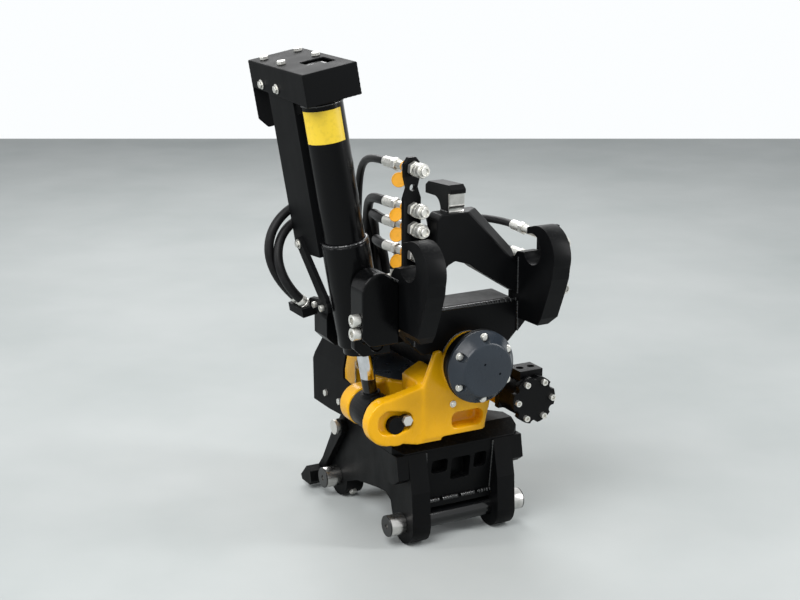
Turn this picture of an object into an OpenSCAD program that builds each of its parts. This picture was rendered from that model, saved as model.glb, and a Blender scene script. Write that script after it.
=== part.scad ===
// Tilt rotator for an excavator arm: hooks for the machine on top, two shafts for the tool below.
// X runs along the tool shafts, Y runs to the rear along the tilt axle, Z is up. Millimetres.

/* [Layout] */
// Height of the tilt axle over the ground
tilt_z = 392; // [388:1:396]
// Lean of the tilt cylinder to the left at rest, degrees
lean = 9.6; // [9:0.1:10]
// Rod pin, left of the slew axis
eye_x = -162; // [-164:1:-160]
// Rod pin, height over the ground
eye_z = 279; // [276:1:281]
// Plane of the tilt cylinder, front of the slew axis
cyl_y = -100; // [-102:1:-98]
// Moves the slew axis so that the origin is under the middle of the whole
shift_x = 70; // [40:1:80]
// The same, front to rear
shift_y = 34; // [20:1:60]

/* [Lower hitch] */
// Distance between the two tool shafts
shaft_pitch = 300; // [290:1:310]
// Diameter of the bare ends of a tool shaft
shaft_d = 45; // [42:1:50]
// Diameter of a tool shaft between its ends
neck_d = 40; // [34:1:41]
// Length of a tool shaft
shaft_len = 320; // [312:1:330]
// Height of the shaft axes over the ground
shaft_z = 45; // [44:1:48]
// Outer radius of the eyes that hold the shafts
lug_r = 44; // [38:1:44]
// Half width over the cheeks
cheek_x = 122; // [118:1:126]
// Half width over the shoulders at the front
shoulder_x = 148; // [140:1:150]
// Thickness of a cheek
cheek_t = 42; // [36:1:46]
// Top of the deck
deck_z = 226; // [222:1:227]
// Thickness of the deck
deck_t = 26; // [20:1:30]

/* [Slew drive] */
// Radius of the slew journal
journal_r = 78; // [74:1:80]
// Radius over the tips of the worm wheel
wheel_tip_r = 106; // [105:0.5:107]
// Teeth of the worm wheel
wheel_teeth = 36; // [36:36]
// Height of the worm axis
worm_z = 303; // [302:1:304]
// Radius over the crest of the worm thread
worm_r = 22; // [21:0.5:22]
// Depth to which thread and teeth reach past one another
mesh_depth = 2.5; // [2:0.1:3]

/* [Housing] */
// Radius of the gear case
case_r = 138; // [136:1:140]
// Underside of the gear case
case_z = 232; // [231:1:234]
// Radius of the bosses that hold the tilt axle
boss_r = 60; // [58:1:64]
// Radius of the tilt axle
axle_r = 30; // [28:1:31]
// Radius of the tilt cover over its flange
cover_r = 75; // [70:1:78]
// Radius of the two ears that hold the rod pin
ear_r = 42; // [40:1:42]
// Radius of the rod pin
pin_r = 17.5; // [16:0.5:18]

/* [Top frame] */
// Radius of the tilt hub
hub_r = 58; // [55:1:58]
// Height of the underside of the frame over the tilt axle
belly = 22; // [22:1:26]
// Outer face of the hook plates
jaw_x = 160; // [158:1:164]
// Thickness of a hook plate
jaw_t = 40; // [36:1:42]
// Centre of the hook throat, front to rear
throat_y = -240; // [-244:1:-238]
// Centre of the hook throat, height
throat_z = 615; // [612:1:618]
// Radius of the hook throat
throat_r = 32; // [30:1:33]
// Radius of the rounded nose of the hooks
jaw_r = 58; // [56:1:60]

/* [Tilt cylinder] */
// Outer radius of the barrel
barrel_r = 41; // [40:0.5:42]
// Radius of the bore
bore_r = 34; // [32:0.5:35]
// Outer radius of the collar at the trunnions
collar_r = 48; // [46:0.5:48]
// Radius of the piston rod
rod_r = 15; // [14:0.5:16]
// Radius of a trunnion
trunnion_r = 14; // [13:0.5:15]
// Top of the collar over the trunnions, along the cylinder
collar_top = 200; // [190:1:210]
// Room between the top of the barrel and the top of the hood
crown_room = 70; // [60:1:80]
// Top of the hood over the trunnions, along the cylinder
hood_top = 550; // [545:1:555]
// Left side of the hood, from the axis of the cylinder
hood_left = 54; // [52:1:56]
// Right side of the hood, from the axis of the cylinder
hood_right = 62; // [58:1:64]
// Thickness of folded sheet
sheet = 5; // [4:0.5:6]

/* [Fits] */
// Radial play of a running fit
play = 0.06; // [0.04:0.01:0.09]

/* [Hidden] */
$fn = 48;
along = [-sin(lean), cos(lean)];
reach = -eye_x * along.x + (tilt_z - eye_z) * along.y;
trunnion = [eye_x + 2 * reach * along.x, eye_z + 2 * reach * along.y];
shaft_y = shaft_pitch / 2;
barrel_top = hood_top - crown_room;
wheel_root_r = wheel_tip_r - 8;
worm_x = wheel_tip_r + worm_r - mesh_depth;
thread_pitch = 2 * PI * (wheel_tip_r - mesh_depth / 2) / wheel_teeth;
motor_half = 42;
nose_x = worm_x - motor_half - 5.5;
foot_x = worm_x - motor_half;
frame_z = tilt_z + belly;
ear_front = [-203, -134];
ear_rear = [-66, -26];
black = [0.06, 0.06, 0.065];
yellow = [0.95, 0.66, 0.05];
steel = [0.72, 0.72, 0.72];
chrome = [0.82, 0.83, 0.85];
zinc = [0.75, 0.74, 0.7];
bronze = [0.7, 0.5, 0.25];
graphite = [0.22, 0.22, 0.24];
rubber = [0.03, 0.03, 0.03];

// Round bar along X, Y or Z between two stations
module bar_x(y, z, x0, x1, r) translate([x0, y, z]) rotate([0, 90, 0]) cylinder(h = x1 - x0, r = r);
module bar_y(x, z, y0, y1, r) translate([x, y0, z]) rotate([-90, 0, 0]) cylinder(h = y1 - y0, r = r);
module bar_z(x, y, z0, z1, r) translate([x, y, z0]) cylinder(h = z1 - z0, r = r);

// Plain block between two corners
module block(a, b) translate(a) cube(b - a);

// Plate cut from a drawing in Y and Z, between two stations on X
module plate_yz(x0, x1) translate([x0, 0, 0]) rotate([90, 0, 90]) linear_extrude(x1 - x0) children();

// Plate cut from a drawing in X and Z, between two stations on Y
module plate_xz(y0, y1) translate([0, y1, 0]) rotate([90, 0, 0]) linear_extrude(y1 - y0) children();

// Web with straight sides between two rounds, and the whole link with its round ends
module web(p, rp, q, rq) {
    a = atan2(q.y - p.y, q.x - p.x);
    t = acos((rp - rq) / norm(q - p));
    up = [cos(a + t), sin(a + t)];
    down = [cos(a - t), sin(a - t)];
    polygon([p + (rp - 0.05) * up, p + (rp - 0.05) * down, q + (rq - 0.05) * down, q + (rq - 0.05) * up]);
}
module link(p, rp, q, rq) {
    web(p, rp, q, rq);
    translate(p) circle(rp);
    translate(q) circle(rq);
}

// Hexagon screw with its head on the plane z = 0, pointing down
module hex_screw(d, len) {
    cylinder(h = 0.65 * d, r = 0.92 * d, $fn = 6);
    translate([0, 0, -len]) cylinder(h = len, r = d / 2);
}

// Socket screw with its head on the plane z = 0, pointing down
module cap_screw(d, len) {
    difference() {
        cylinder(h = d, r = 0.78 * d);
        translate([0, 0, 0.45 * d]) cylinder(h = d, r = 0.48 * d, $fn = 6);
    }
    translate([0, 0, -len]) cylinder(h = len, r = d / 2);
}

// Stands a piece on the trunnions of the cylinder, or on the rod pin, along the leaning axis
module on_cylinder() translate([trunnion.x, cyl_y, trunnion.y]) rotate([0, -lean, 0]) children();
module on_rod() translate([eye_x, cyl_y, eye_z]) rotate([0, -lean, 0]) children();

// Smooth route through hand-set points, and a hose along it
function spline(p, i, t) =
    let(a = p[max(i - 1, 0)], b = p[i], c = p[i + 1], d = p[min(i + 2, len(p) - 1)])
    b + t * ((c - a) / 2) + t * t * (a - 2.5 * b + 2 * c - d / 2) + t * t * t * ((d - a) / 2 + 1.5 * (b - c));
function route(p, n) = [for (i = [0 : len(p) - 2], k = [0 : n - 1]) spline(p, i, k / n), p[len(p) - 1]];
function unit(v) = v / norm(v);
module hose(points, r) {
    n = 8;
    way = route(points, 4);
    last = len(way) - 1;
    ring = function (i)
        let(t = unit(way[min(i + 1, last)] - way[max(i - 1, 0)]), u = unit(cross(t, [0.62, 0.31, 0.72])))
        let(v = cross(t, u))
        [for (k = [0 : n - 1]) way[i] + r * (cos(360 * k / n) * u + sin(360 * k / n) * v)];
    points3 = [for (i = [0 : last]) each ring(i)];
    sides = [for (i = [0 : last - 1], k = [0 : n - 1])
        [i * n + k, (i + 1) * n + k, (i + 1) * n + (k + 1) % n, i * n + (k + 1) % n]];
    start = [for (k = [0 : n - 1]) k];
    end = [for (k = [n - 1 : -1 : 0]) last * n + k];
    polyhedron(points3, concat([start, end], sides), convexity = 6);
}

// LOWER HITCH

module cheek(side) {
    inner = side * (cheek_x - cheek_t);
    outer = side * cheek_x;
    wide = side * shoulder_x;
    difference() {
        union() {
            plate_yz(min(inner, outer), max(inner, outer)) {
                for (s = [-1, 1]) translate([s * shaft_y, shaft_z]) circle(lug_r);
                polygon([
                    [-shaft_y - lug_r + 0.05, shaft_z], [-shaft_y + lug_r, shaft_z], [-97, 76], [-76, 87],
                    [-44, 84], [56, 66], [shaft_y - lug_r, shaft_z], [shaft_y + lug_r - 0.05, shaft_z],
                    [156, 160], [128, deck_z - deck_t], [-172, deck_z - deck_t], [-190, 120]
                ]);
            }
            plate_yz(min(inner, wide), max(inner, wide)) polygon([
                [-172, deck_z - deck_t], [-181, 152], [-158, 136], [-118, 136], [-100, deck_z - deck_t]
            ]);
        }
        for (s = [-1, 1]) bar_x(s * shaft_y, shaft_z, -170, 170, neck_d / 2);
        at_lock_screws() {
            cylinder(h = 20, r = 10);
            translate([0, 0, -8]) cylinder(h = 9, r = 5);
        }
    }
}
module left_cheek() color(black) cheek(-1);
module right_cheek() color(black) cheek(1);

module hitch_deck() color(black) difference() {
    translate([0, 0, deck_z - deck_t]) linear_extrude(deck_t) polygon([
        [-shoulder_x, -100], [-shoulder_x, -152], [-shoulder_x + 18, -172], [shoulder_x - 18, -172],
        [shoulder_x, -152], [shoulder_x, -100], [cheek_x, -70], [cheek_x, 100], [95, 128], [-95, 128],
        [-cheek_x, 100], [-cheek_x, -70]
    ]);
    bar_z(0, 0, deck_z - deck_t - 1, deck_z + 1, 46);
    plate_yz(-shoulder_x - 1, shoulder_x + 1) polygon([
        [-134, deck_z], [-134, deck_z + 1], [-174, deck_z + 1], [-174, deck_z - deck_t + 2]
    ]);
}

// Blind pocket with round corners, cut from the front
module pocket(x0, x1, z0, z1, y0, y1, r) {
    block([x0 + r, y0, z0], [x1 - r, y1, z1]);
    block([x0, y0, z0 + r], [x1, y1, z1 - r]);
    for (x = [x0 + r, x1 - r], z = [z0 + r, z1 - r]) bar_y(x, z, y0, y1, r);
}

wall_in = cheek_x - cheek_t;
module hitch_front_wall() color(black) {
    difference() {
        plate_yz(-wall_in, wall_in) polygon([
            [-122, 72], [-122, deck_z - deck_t], [-170, deck_z - deck_t], [-170, 178], [-158, 96], [-158, 72]
        ]);
        pocket(-17, 27, 124, 174, -171, -138, 6);
        pocket(-64, -27, 146, 176, -171, -142, 6);
        pocket(37, 66, 142, 176, -171, -142, 6);
    }
    block([-wall_in, -164, 72], [wall_in, -158, 84]);
}

module hitch_rear_wall() color(black) difference() {
    block([-wall_in, 100, 98], [wall_in, 126, deck_z - deck_t]);
    bar_y(0, 150, 99, 127, 26);
}

module tool_shaft(y) difference() {
    union() {
        bar_x(y, shaft_z, -cheek_x, cheek_x, neck_d / 2);
        bar_x(y, shaft_z, -shaft_len / 2, -cheek_x, shaft_d / 2);
        bar_x(y, shaft_z, cheek_x, shaft_len / 2, shaft_d / 2);
    }
    for (s = [-1, 1]) bar_x(y, shaft_z, s * shaft_len / 2 - 8, s * shaft_len / 2 + 8, 5);
}
module front_shaft() color(steel) tool_shaft(-shaft_y);
module rear_shaft() color(steel) tool_shaft(shaft_y);

module at_lock_screws() for (s = [-1, 1], x = [-1, 1])
    translate([x * (cheek_x - cheek_t / 2), s * shaft_y, shaft_z])
        rotate([s * 135, 0, 0]) translate([0, 0, lug_r - 2]) children();
module shaft_lock_screws() color(zinc) at_lock_screws() hex_screw(10, 8);

module slew_spindle() color(steel) difference() {
    union() {
        bar_z(0, 0, deck_z, case_z + 28, journal_r);
        bar_z(0, 0, deck_z - 20, deck_z, 46);
        bar_z(0, 0, case_z + 28, worm_z + 18, 60);
    }
    bar_z(0, 0, deck_z - 30, worm_z + 20, 26);
}
module thrust_ring() color(bronze) difference() {
    bar_z(0, 0, case_z + 31, worm_z - 18, 96);
    bar_z(0, 0, case_z + 30, worm_z, 60);
}
module worm_wheel() color(bronze) difference() {
    union() {
        bar_z(0, 0, worm_z - 18, worm_z + 18, wheel_root_r);
        translate([0, 0, worm_z - 18]) linear_extrude(36) for (i = [0 : wheel_teeth - 1])
            rotate((i + 0.5) * 360 / wheel_teeth)
                polygon([[wheel_root_r - 2, -5], [wheel_tip_r, -2.4], [wheel_tip_r, 2.4], [wheel_root_r - 2, 5]]);
    }
    bar_z(0, 0, worm_z - 20, worm_z + 20, 60);
}

// Lever that locks the tool on its rear shaft
lever_top = [112, 174];
lever_bend = [186, 70];
lever_tip = [208, 44];
module lock_pivot() color(zinc) {
    bar_x(lever_top.x, lever_top.y, -cheek_x - 22, -cheek_x, 10);
    bar_x(lever_top.x, lever_top.y, -cheek_x - 28, -cheek_x - 22, 16);
}
module lock_lever() color(black) difference() {
    union() {
        plate_yz(-cheek_x - 16, -cheek_x - 2) {
            link(lever_top, 17, lever_bend, 10);
            link(lever_bend, 10, lever_tip, 10.5);
        }
        plate_yz(-shaft_len / 2 - 8, -cheek_x - 2) polygon([
            [lever_tip.x - 10, lever_tip.y], [lever_tip.x - 16, lever_tip.y - 22],
            [lever_tip.x - 8, lever_tip.y - 32], [lever_tip.x + 32, lever_tip.y - 32],
            [lever_tip.x + 38, lever_tip.y - 22], [lever_tip.x + 8, lever_tip.y + 8]
        ]);
    }
    bar_x(lever_top.x, lever_top.y, -cheek_x - 20, -cheek_x, 10 + play);
}

// ROTOR HOUSING

module pedestal(y0, y1) plate_xz(y0, y1) {
    translate([0, tilt_z]) circle(boss_r);
    polygon([[-foot_x, case_z + 8], [foot_x, case_z + 8], [boss_r - 0.3, tilt_z], [-boss_r + 0.3, tilt_z]]);
}
// Front of the casting: the boss, a narrow foot, and a straight column on the left that joins the ear
module front_pedestal() {
    bar_y(0, tilt_z, -238, -193, boss_r);
    plate_xz(-206, -193) {
        polygon([
            [-boss_r + 0.3, tilt_z], [-boss_r + 0.3, case_z + 8], [36, case_z + 8], [50, 292], [boss_r - 0.3, tilt_z]
        ]);
        polygon([[-104, case_z + 8], [-104, 356], [-78, 422], [-62, 422], [-58, tilt_z], [-58, case_z + 8]]);
    }
    difference() {
        plate_xz(-194, -112) polygon([
            [-104, 320], [-104, 356], [-92, 364], [-62, 378], [-40, 352], [-40, 320]
        ]);
        bar_y(0, tilt_z, -200, -100, hub_r + 3);
    }
}
ear_at = [eye_x - 18, eye_z + 9];
module ear_rim(y0, y1) plate_xz(y0, y1) {
    translate(ear_at) circle(ear_r + 6);
    polygon([
        ear_at + [0, ear_r + 5.8], [-104, 352], [-60, 352], [-60, case_z + 10], [-100, case_z + 14],
        [eye_x + 28, case_z + 8], ear_at - [0, ear_r + 5.8]
    ]);
}
module ear(y0, y1) plate_xz(y0, y1) {
    translate([eye_x, eye_z]) circle(ear_r);
    polygon([
        [eye_x, eye_z + ear_r - 0.1], [-90, 330], [-60, 330], [-60, case_z],
        [-118, case_z], [eye_x + 12, eye_z - ear_r + 2.5], [eye_x, eye_z - ear_r + 0.1]
    ]);
}
module rotor_housing() color(yellow) difference() {
    union() {
        bar_z(0, 0, case_z, 331, case_r);
        block([-nose_x, -200, case_z + 8], [nose_x - 34, -90, 326]);
        block([-nose_x, 90, case_z + 8], [nose_x, 200, 326]);
        front_pedestal();
        pedestal(196, 238);
        ear(ear_front[0], ear_front[1]);
        ear_rim(ear_front[0], ear_front[0] + 28);
        ear(ear_rear[0], ear_rear[1]);
        block([worm_x - 34, -168, worm_z - 34], [worm_x + 32, 150, worm_z + 28]);
        for (y = [30, 95]) bar_x(y, 262, -168, -90, 12);
    }
    bar_z(0, 0, case_z - 1, 262, journal_r + play);
    bar_z(0, 0, 262, 340, wheel_tip_r + 6);
    bar_z(0, 0, worm_z + worm_r + 1, 340, 122);
    bar_y(worm_x, worm_z, -140, 120, worm_r + 3);
    bar_y(worm_x, worm_z, -169, 151, 17 + play);
    bar_y(0, tilt_z, -240, 240, axle_r);
    bar_y(eye_x, eye_z, ear_front[0] - 1, ear_rear[1] + 1, pin_r + play);
    plate_xz(ear_front[0] - 1, ear_front[0] + 14) link(ear_at, 24, ear_at + [34, -2], 20);
    bar_y(bolt_at.x, bolt_at.y, ear_front[0], ear_front[0] + 26, 6);
    pocket(-38, 34, case_z + 22, 286, -207, -174, 12);
    block([eye_x - ear_r - 1, ear_front[1], eye_z - 60], [-113, ear_rear[0], eye_z + 60]);
    for (y = [30, 95]) bar_x(y, 262, -169, -140, 4);
}
module gear_lid() color(graphite) bar_z(0, 0, worm_z + worm_r + 1, 331, 121.5);
module slew_seal() color(rubber) difference() {
    bar_z(0, 0, deck_z + 0.5, case_z, 112);
    bar_z(0, 0, deck_z, case_z + 1, 98);
}
module tilt_axle() color(steel) bar_y(0, tilt_z, -242, 242, axle_r);
module front_flange() color(black) difference() {
    bar_y(0, tilt_z, -246, -238, cover_r);
    bar_y(0, tilt_z, -247, -237, axle_r + 1);
}
module at_cover_screws() for (a = [30 : 60 : 330])
    translate([(cover_r - 12) * cos(a), -258, tilt_z + (cover_r - 12) * sin(a)]) rotate([90, 0, 0]) children();
module tilt_cover() color(graphite) {
    difference() {
        translate([0, -246, tilt_z]) rotate([90, 0, 0]) rotate_extrude() polygon([
            [0, 0], [cover_r - 4, 0], [cover_r - 4, 9], [cover_r - 9, 14], [cover_r - 12, 22],
            [cover_r - 17, 27], [0, 27]
        ]);
        at_cover_screws() {
            cylinder(h = 30, r = 9);
            translate([0, 0, -9]) cylinder(h = 10, r = 4);
        }
    }
    for (x = [-22, 20]) bar_y(x, tilt_z + 18, -278, -272, 6);
}
module cover_screws() color(zinc) at_cover_screws() hex_screw(8, 9);
module rear_tilt_cap() color(graphite) difference() {
    union() {
        bar_y(0, tilt_z, 242, 252, 58);
        bar_y(0, tilt_z, 238, 242, cover_r - 9);
    }
    bar_y(0, tilt_z, 237, 242, axle_r + 1);
}
side_x = -174;
crease_z = 338;
side_lean = 20;
side_shape = [
    [-18, 236], [84, 230], [158, 230], [160, 322], [92, 434], [58, 438], [14, 400], [14, 318], [-18, 312]
];
module side_cover() color(black) {
    difference() {
        intersection() {
            plate_xz(-20, 162) polygon([
                [side_x, 228], [side_x, crease_z], [side_x + side_lean, 440], [side_x + side_lean + sheet, 440],
                [side_x + sheet, crease_z], [side_x + sheet, 228]
            ]);
            plate_yz(side_x - 1, side_x + side_lean + sheet + 1) polygon(side_shape);
        }
        for (y = [30, 95]) bar_x(y, 262, side_x - 1, side_x + sheet + 1, 4);
    }
    block([side_x + sheet, 154, 232], [side_x + 60, 159, 318]);
}
module side_cover_screws() color(zinc) for (y = [30, 95])
    translate([side_x, y, 262]) rotate([0, -90, 0]) hex_screw(8, 20);

module hydraulic_motor() color(black) {
    difference() {
        union() {
            block([worm_x - motor_half, -184, worm_z - 34], [worm_x + motor_half, -168, worm_z + 34]);
            bar_y(worm_x, worm_z, -240, -184, 44);
        }
        bar_y(worm_x, worm_z, -200, -160, 17 + play);
    }
}
module motor_end_cap() color(black) difference() {
    bar_y(worm_x, worm_z, -254, -240, 50);
    for (a = [0 : 60 : 300]) translate([worm_x + 52 * cos(a + 30), 0, worm_z + 52 * sin(a + 30)])
        bar_y(0, 0, -260, -230, 9);
    at_motor_screws() translate([0, 0, -10]) cylinder(h = 11, r = 4);
}
module at_motor_screws() for (a = [0 : 60 : 300])
    translate([worm_x + 41 * cos(a), -254, worm_z + 41 * sin(a)]) rotate([90, 0, 0]) children();
module motor_screws() color(zinc) at_motor_screws() cap_screw(8, 10);
module motor_port_block() color(steel) difference() {
    block([worm_x - 24, -236, worm_z + 38], [worm_x + 30, -188, worm_z + 58]);
    for (x = [-10, 16]) bar_z(worm_x + x, -212, worm_z + 50, worm_z + 60, 8);
    bar_y(worm_x, worm_z, -240, -180, 44);
}
// Rod pin with the tongue that keeps it from turning, held by one bolt
bolt_at = [eye_x + 22, eye_z + 9];
module rod_pin() color(graphite) difference() {
    union() {
        bar_y(eye_x, eye_z, ear_front[0] + 4, ear_rear[1], pin_r);
        plate_xz(ear_front[0] + 4, ear_front[0] + 14) link([eye_x, eye_z], 14, bolt_at, 9.5);
    }
    bar_y(bolt_at.x, bolt_at.y, ear_front[0], ear_front[0] + 15, 6);
}
module pin_bolt() color(zinc)
    translate([bolt_at.x, ear_front[0] + 4, bolt_at.y]) rotate([90, 0, 0]) hex_screw(12, 20);

// Thread of the worm: a lobe on a round core, wound along Y
module worm_shaft() color(steel) {
    lobe = [for (a = [-45 : 15 : 45]) worm_r * [cos(a + 180), sin(a + 180)]];
    core = [for (a = [105 : 15 : 255]) (worm_r - 6.5) * [cos(a + 180), sin(a + 180)]];
    translate([worm_x, -3 * thread_pitch, worm_z]) rotate([-90, 0, 0])
        linear_extrude(6 * thread_pitch, twist = 6 * 360, slices = 84, convexity = 8)
            polygon(concat(lobe, core));
    for (s = [-1, 1]) {
        a = min(s * (3 * thread_pitch - 3), s * 148);
        b = max(s * (3 * thread_pitch - 3), s * 148);
        bar_y(worm_x, worm_z, a, b, 15);
    }
    bar_y(worm_x, worm_z, -196, -140, 17);
    bar_y(worm_x, worm_z, 122, 148, 17);
}

// TOP FRAME

module tilt_hub() color(black) difference() {
    bar_y(0, tilt_z, -192, 192, hub_r);
    bar_y(0, tilt_z, -193, 193, axle_r + 5);
}
module tilt_bushes() color(bronze) for (s = [-1, 1]) difference() {
    bar_y(0, tilt_z, s > 0 ? 132 : -192, s > 0 ? 192 : -132, axle_r + 5);
    bar_y(0, tilt_z, -193, 193, axle_r + play);
}
plate_in = jaw_x - jaw_t;
block_face = 52;
screw_y = -190;
screw_zs = [479, 506];
module hub_cut() bar_y(0, tilt_z, -200, 200, hub_r);
module front_plate() color(black) difference() {
    plate_xz(-192, -168) polygon([
        [-100, frame_z], [-plate_in, frame_z + 20], [-plate_in, 500], [plate_in, 500],
        [plate_in, frame_z + 20], [100, frame_z]
    ]);
    hub_cut();
}
module top_plate() color(black) difference() {
    plate_yz(-plate_in, plate_in) polygon([
        [-168, 484], [-168, 500], [-92, 500], [-92, frame_z + 6], [-112, frame_z + 6], [-112, 484]
    ]);
    hub_cut();
}
module rear_beam() color(black) difference() {
    plate_xz(110, 190) polygon([
        [-112, frame_z], [-112, 456], [-84, 478], [84, 478], [112, 456], [112, frame_z]
    ]);
    hub_cut();
}
jaw_back = cyl_y - block_face - 4;
tip_y = throat_y + 19;
module jaw(side) difference() {
    plate_yz(min(side * plate_in, side * jaw_x), max(side * plate_in, side * jaw_x)) difference() {
        union() {
            translate([throat_y - 22, throat_z - 7]) circle(jaw_r);
            polygon([
                [throat_y - 22, throat_z + jaw_r - 7.2], [tip_y, throat_z + throat_r + 10],
                [tip_y, throat_z], [throat_y - 22, throat_z]
            ]);
            polygon([
                [throat_y - 22 - jaw_r + 0.3, throat_z - 7], [throat_y - 74, 568], [throat_y - 62, 536],
                [throat_y - 38, 480], [throat_y - 26, 464], [-196, 462], [-192, frame_z], [jaw_back, frame_z],
                [jaw_back, 552], [throat_y + 66, 585], [throat_y + 40, throat_z]
            ]);
        }
        translate([throat_y, throat_z]) circle(throat_r);
        polygon([
            [throat_y, throat_z - 8], [throat_y + 120, throat_z - 24], [throat_y + 120, throat_z + 100],
            [tip_y, throat_z + 100], [tip_y, throat_z + throat_r - 4], [throat_y, throat_z + throat_r - 0.3]
        ]);
    }
    plate_xz(-330, jaw_back + 1) polygon([
        [side * (jaw_x + 1), frame_z - 1], [side * (jaw_x + 1), 482], [side * plate_in, frame_z + 20],
        [side * (plate_in - 1), frame_z - 1]
    ]);
}
module left_hook_plate() color(black) difference() {
    jaw(-1);
    for (z = screw_zs) bar_x(screw_y, z, -jaw_x - 1, -jaw_x + 24, 8 + play);
}
module right_hook_plate() color(black) jaw(1);
cross_z = 694;
module cross_plate() color(black) difference() {
    plate_xz(-192, -150) polygon([
        [-plate_in, 512], [-plate_in, 556], [-72, 584], [-68, cross_z - 10], [-58, cross_z], [33, cross_z],
        [plate_in, 602], [plate_in, 512], [76, 540], [24, 573], [8, 586], [-26, 597], [-42, 590], [-84, 540]
    ]);
    translate([33, 0, cross_z]) rotate([0, 46.6, 0]) plate_yz(-60, 180)
        polygon([[-193, -23], [-166, 0], [-166, 30], [-193, 30]]);
}
hook_x = [-36, -2];
lock_r = 25;
lock_at = [-122, 693];
module centre_hook() color(black) plate_yz(hook_x[0], hook_x[1]) difference() {
    polygon([
        [-188, cross_z], [-188, cross_z + 46], [-178, cross_z + 54], [-98, cross_z + 49], [-86, cross_z + 40],
        [-86, lock_at.y + lock_r + 4], [-86, lock_at.y - lock_r], [-94, lock_at.y - lock_r - 16],
        [-110, lock_at.y - lock_r - 22], [-150, lock_at.y - lock_r - 22], [-150, cross_z]
    ]);
    translate(lock_at) circle(lock_r);
    polygon([
        lock_at + [0, -lock_r + 0.1], [-80, lock_at.y - lock_r + 2], [-80, lock_at.y + lock_r - 1],
        lock_at + [0, lock_r - 0.1]
    ]);
    translate([-194, cross_z + 4]) circle(13);
    polygon([[-189, cross_z + 12], [-183, cross_z + 14], [-183, cross_z + 36], [-189, cross_z + 38]]);
}

// Bearing blocks of the cylinder, bolted to the left of the frame
module trunnion_body(y0, y1, low, crown, r) difference() {
    plate_xz(y0, y1) {
        polygon([
            [-jaw_x, low], [-222, low], [-240, low + 18], [-240, crown], [-jaw_x, crown + 14]
        ]);
        translate([r - 240, crown]) circle(r);
    }
    bar_y(trunnion.x, trunnion.y, cyl_y - block_face - 22, cyl_y + block_face + 22, trunnion_r + play);
}
module front_trunnion_block() color(black) difference() {
    union() {
        trunnion_body(-208, -172, 452, 560, 38);
        trunnion_body(-172, cyl_y - block_face, trunnion.y - trunnion_r - 9, 560, 38);
    }
    for (z = screw_zs) bar_x(screw_y, z, -250, -150, 8 + play);
}
module rear_trunnion_block() color(black) difference() {
    union() {
        trunnion_body(cyl_y + block_face, 10, frame_z, 470, 32);
        block([-jaw_x, cyl_y + block_face, frame_z + 2], [-36, 10, frame_z + 54]);
    }
    hub_cut();
}
module trunnion_screws() color(zinc) for (z = screw_zs)
    translate([-240, screw_y, z]) rotate([0, -90, 0]) cap_screw(16, 96);

// Couplers for the machine's hoses
coupler_zs = [780, 699, 660, 608];
module coupler(tail, nose) rotate([90, 0, 0]) {
    translate([0, 0, -tail]) cylinder(h = 34, r = 10.5);
    translate([0, 0, 34 - tail]) cylinder(h = tail - 34, r = 9);
    translate([0, 0, 34 - tail]) cylinder(h = 12, r = 13, $fn = 6);
    translate([0, 0, -22]) cylinder(h = 12, r = 14, $fn = 6);
    cylinder(h = 12, r = 15, $fn = 6);
    translate([0, 0, 12]) cylinder(h = 8, r = 11);
    translate([0, 0, 20]) cylinder(h = nose - 28, r = 14.5);
    translate([0, 0, nose - 8]) cylinder(h = 8, r = 10);
}
left_at = [-94, -133];
left_turn = 6;
left_tail = 96;
right_tail = 144;
module on_left(z) translate([left_at.x, left_at.y, z]) rotate([0, 0, left_turn]) children();
module left_coupler_plate() color(black) difference() {
    on_left(0) plate_xz(-5, 5) polygon([
        [-20, 500], [-20, 720], [-12, 742], [-18, 764], [-18, 790], [-8, 802], [8, 802], [18, 790], [18, 764],
        [12, 742], [20, 720], [20, 500]
    ]);
    for (z = coupler_zs) on_left(z) bar_y(0, 0, -9, 9, 9);
    on_left(742) bar_y(0, 0, -9, 9, 7);
}
module left_couplers() color(zinc) for (z = coupler_zs)
    on_left(z) translate([0, -5, 0]) coupler(left_tail, 46);
right_zs = [622, 566, 530];
module right_coupler_plate() color(black) difference() {
    block([jaw_x, -206, 505], [jaw_x + 48, -196, 648]);
    for (z = right_zs) bar_y(jaw_x + 28, z, -210, -190, 9);
}
module right_couplers() color(zinc) for (z = right_zs)
    translate([jaw_x + 28, -206, z]) coupler(right_tail, 58);
tag_swing = [14, 40, 34, 30];
module coupler_tags() color([0.95, 0.5, 0.08]) for (k = [0 : 3]) on_left(coupler_zs[k])
    rotate([0, tag_swing[k], 0]) plate_xz(20, 22) difference() {
        union() {
            circle(13);
            translate([0, -24]) circle(16);
        }
        circle(9.3);
    }
fall_zs = [650, 590, 556, 530];
module coupler_hoses() color(rubber) {
    for (k = [0 : 3]) {
        z = coupler_zs[k];
        x = -74 + 22 * k;
        tail = left_at + (left_tail - 4.6) * [-sin(left_turn), cos(left_turn)];
        hose([
            [tail.x, tail.y, z], [tail.x - 1, tail.y + 11, z], [-104, 4, z - 1], [-100 + 0.4 * (x + 100), 54, z - 12],
            [-100 + 0.8 * (x + 100), 104, z - 52], [x - 2, 132, fall_zs[k]], [x, 138, 508], [x, 138, 487]
        ], k == 0 ? 8 : 10);
        bar_z(x, 138, 478, 496, 10.8);
    }
    for (k = [0 : 2]) {
        z = right_zs[k];
        x = 70 - 24 * k;
        hose([
            [jaw_x + 28, right_tail - 205.5, z], [jaw_x + 28, right_tail - 190, z], [jaw_x + 26, -24, z],
            [140 - 10 * k, 50, z - 8], [100 - 18 * k, 112, z - 26], [x + 4, 154, 522 + 6 * (2 - k)],
            [x, 164, 504], [x, 164, 486]
        ], 9);
        bar_z(x, 164, 478, 496, 10.5);
    }
}

// TILT CYLINDER

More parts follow.
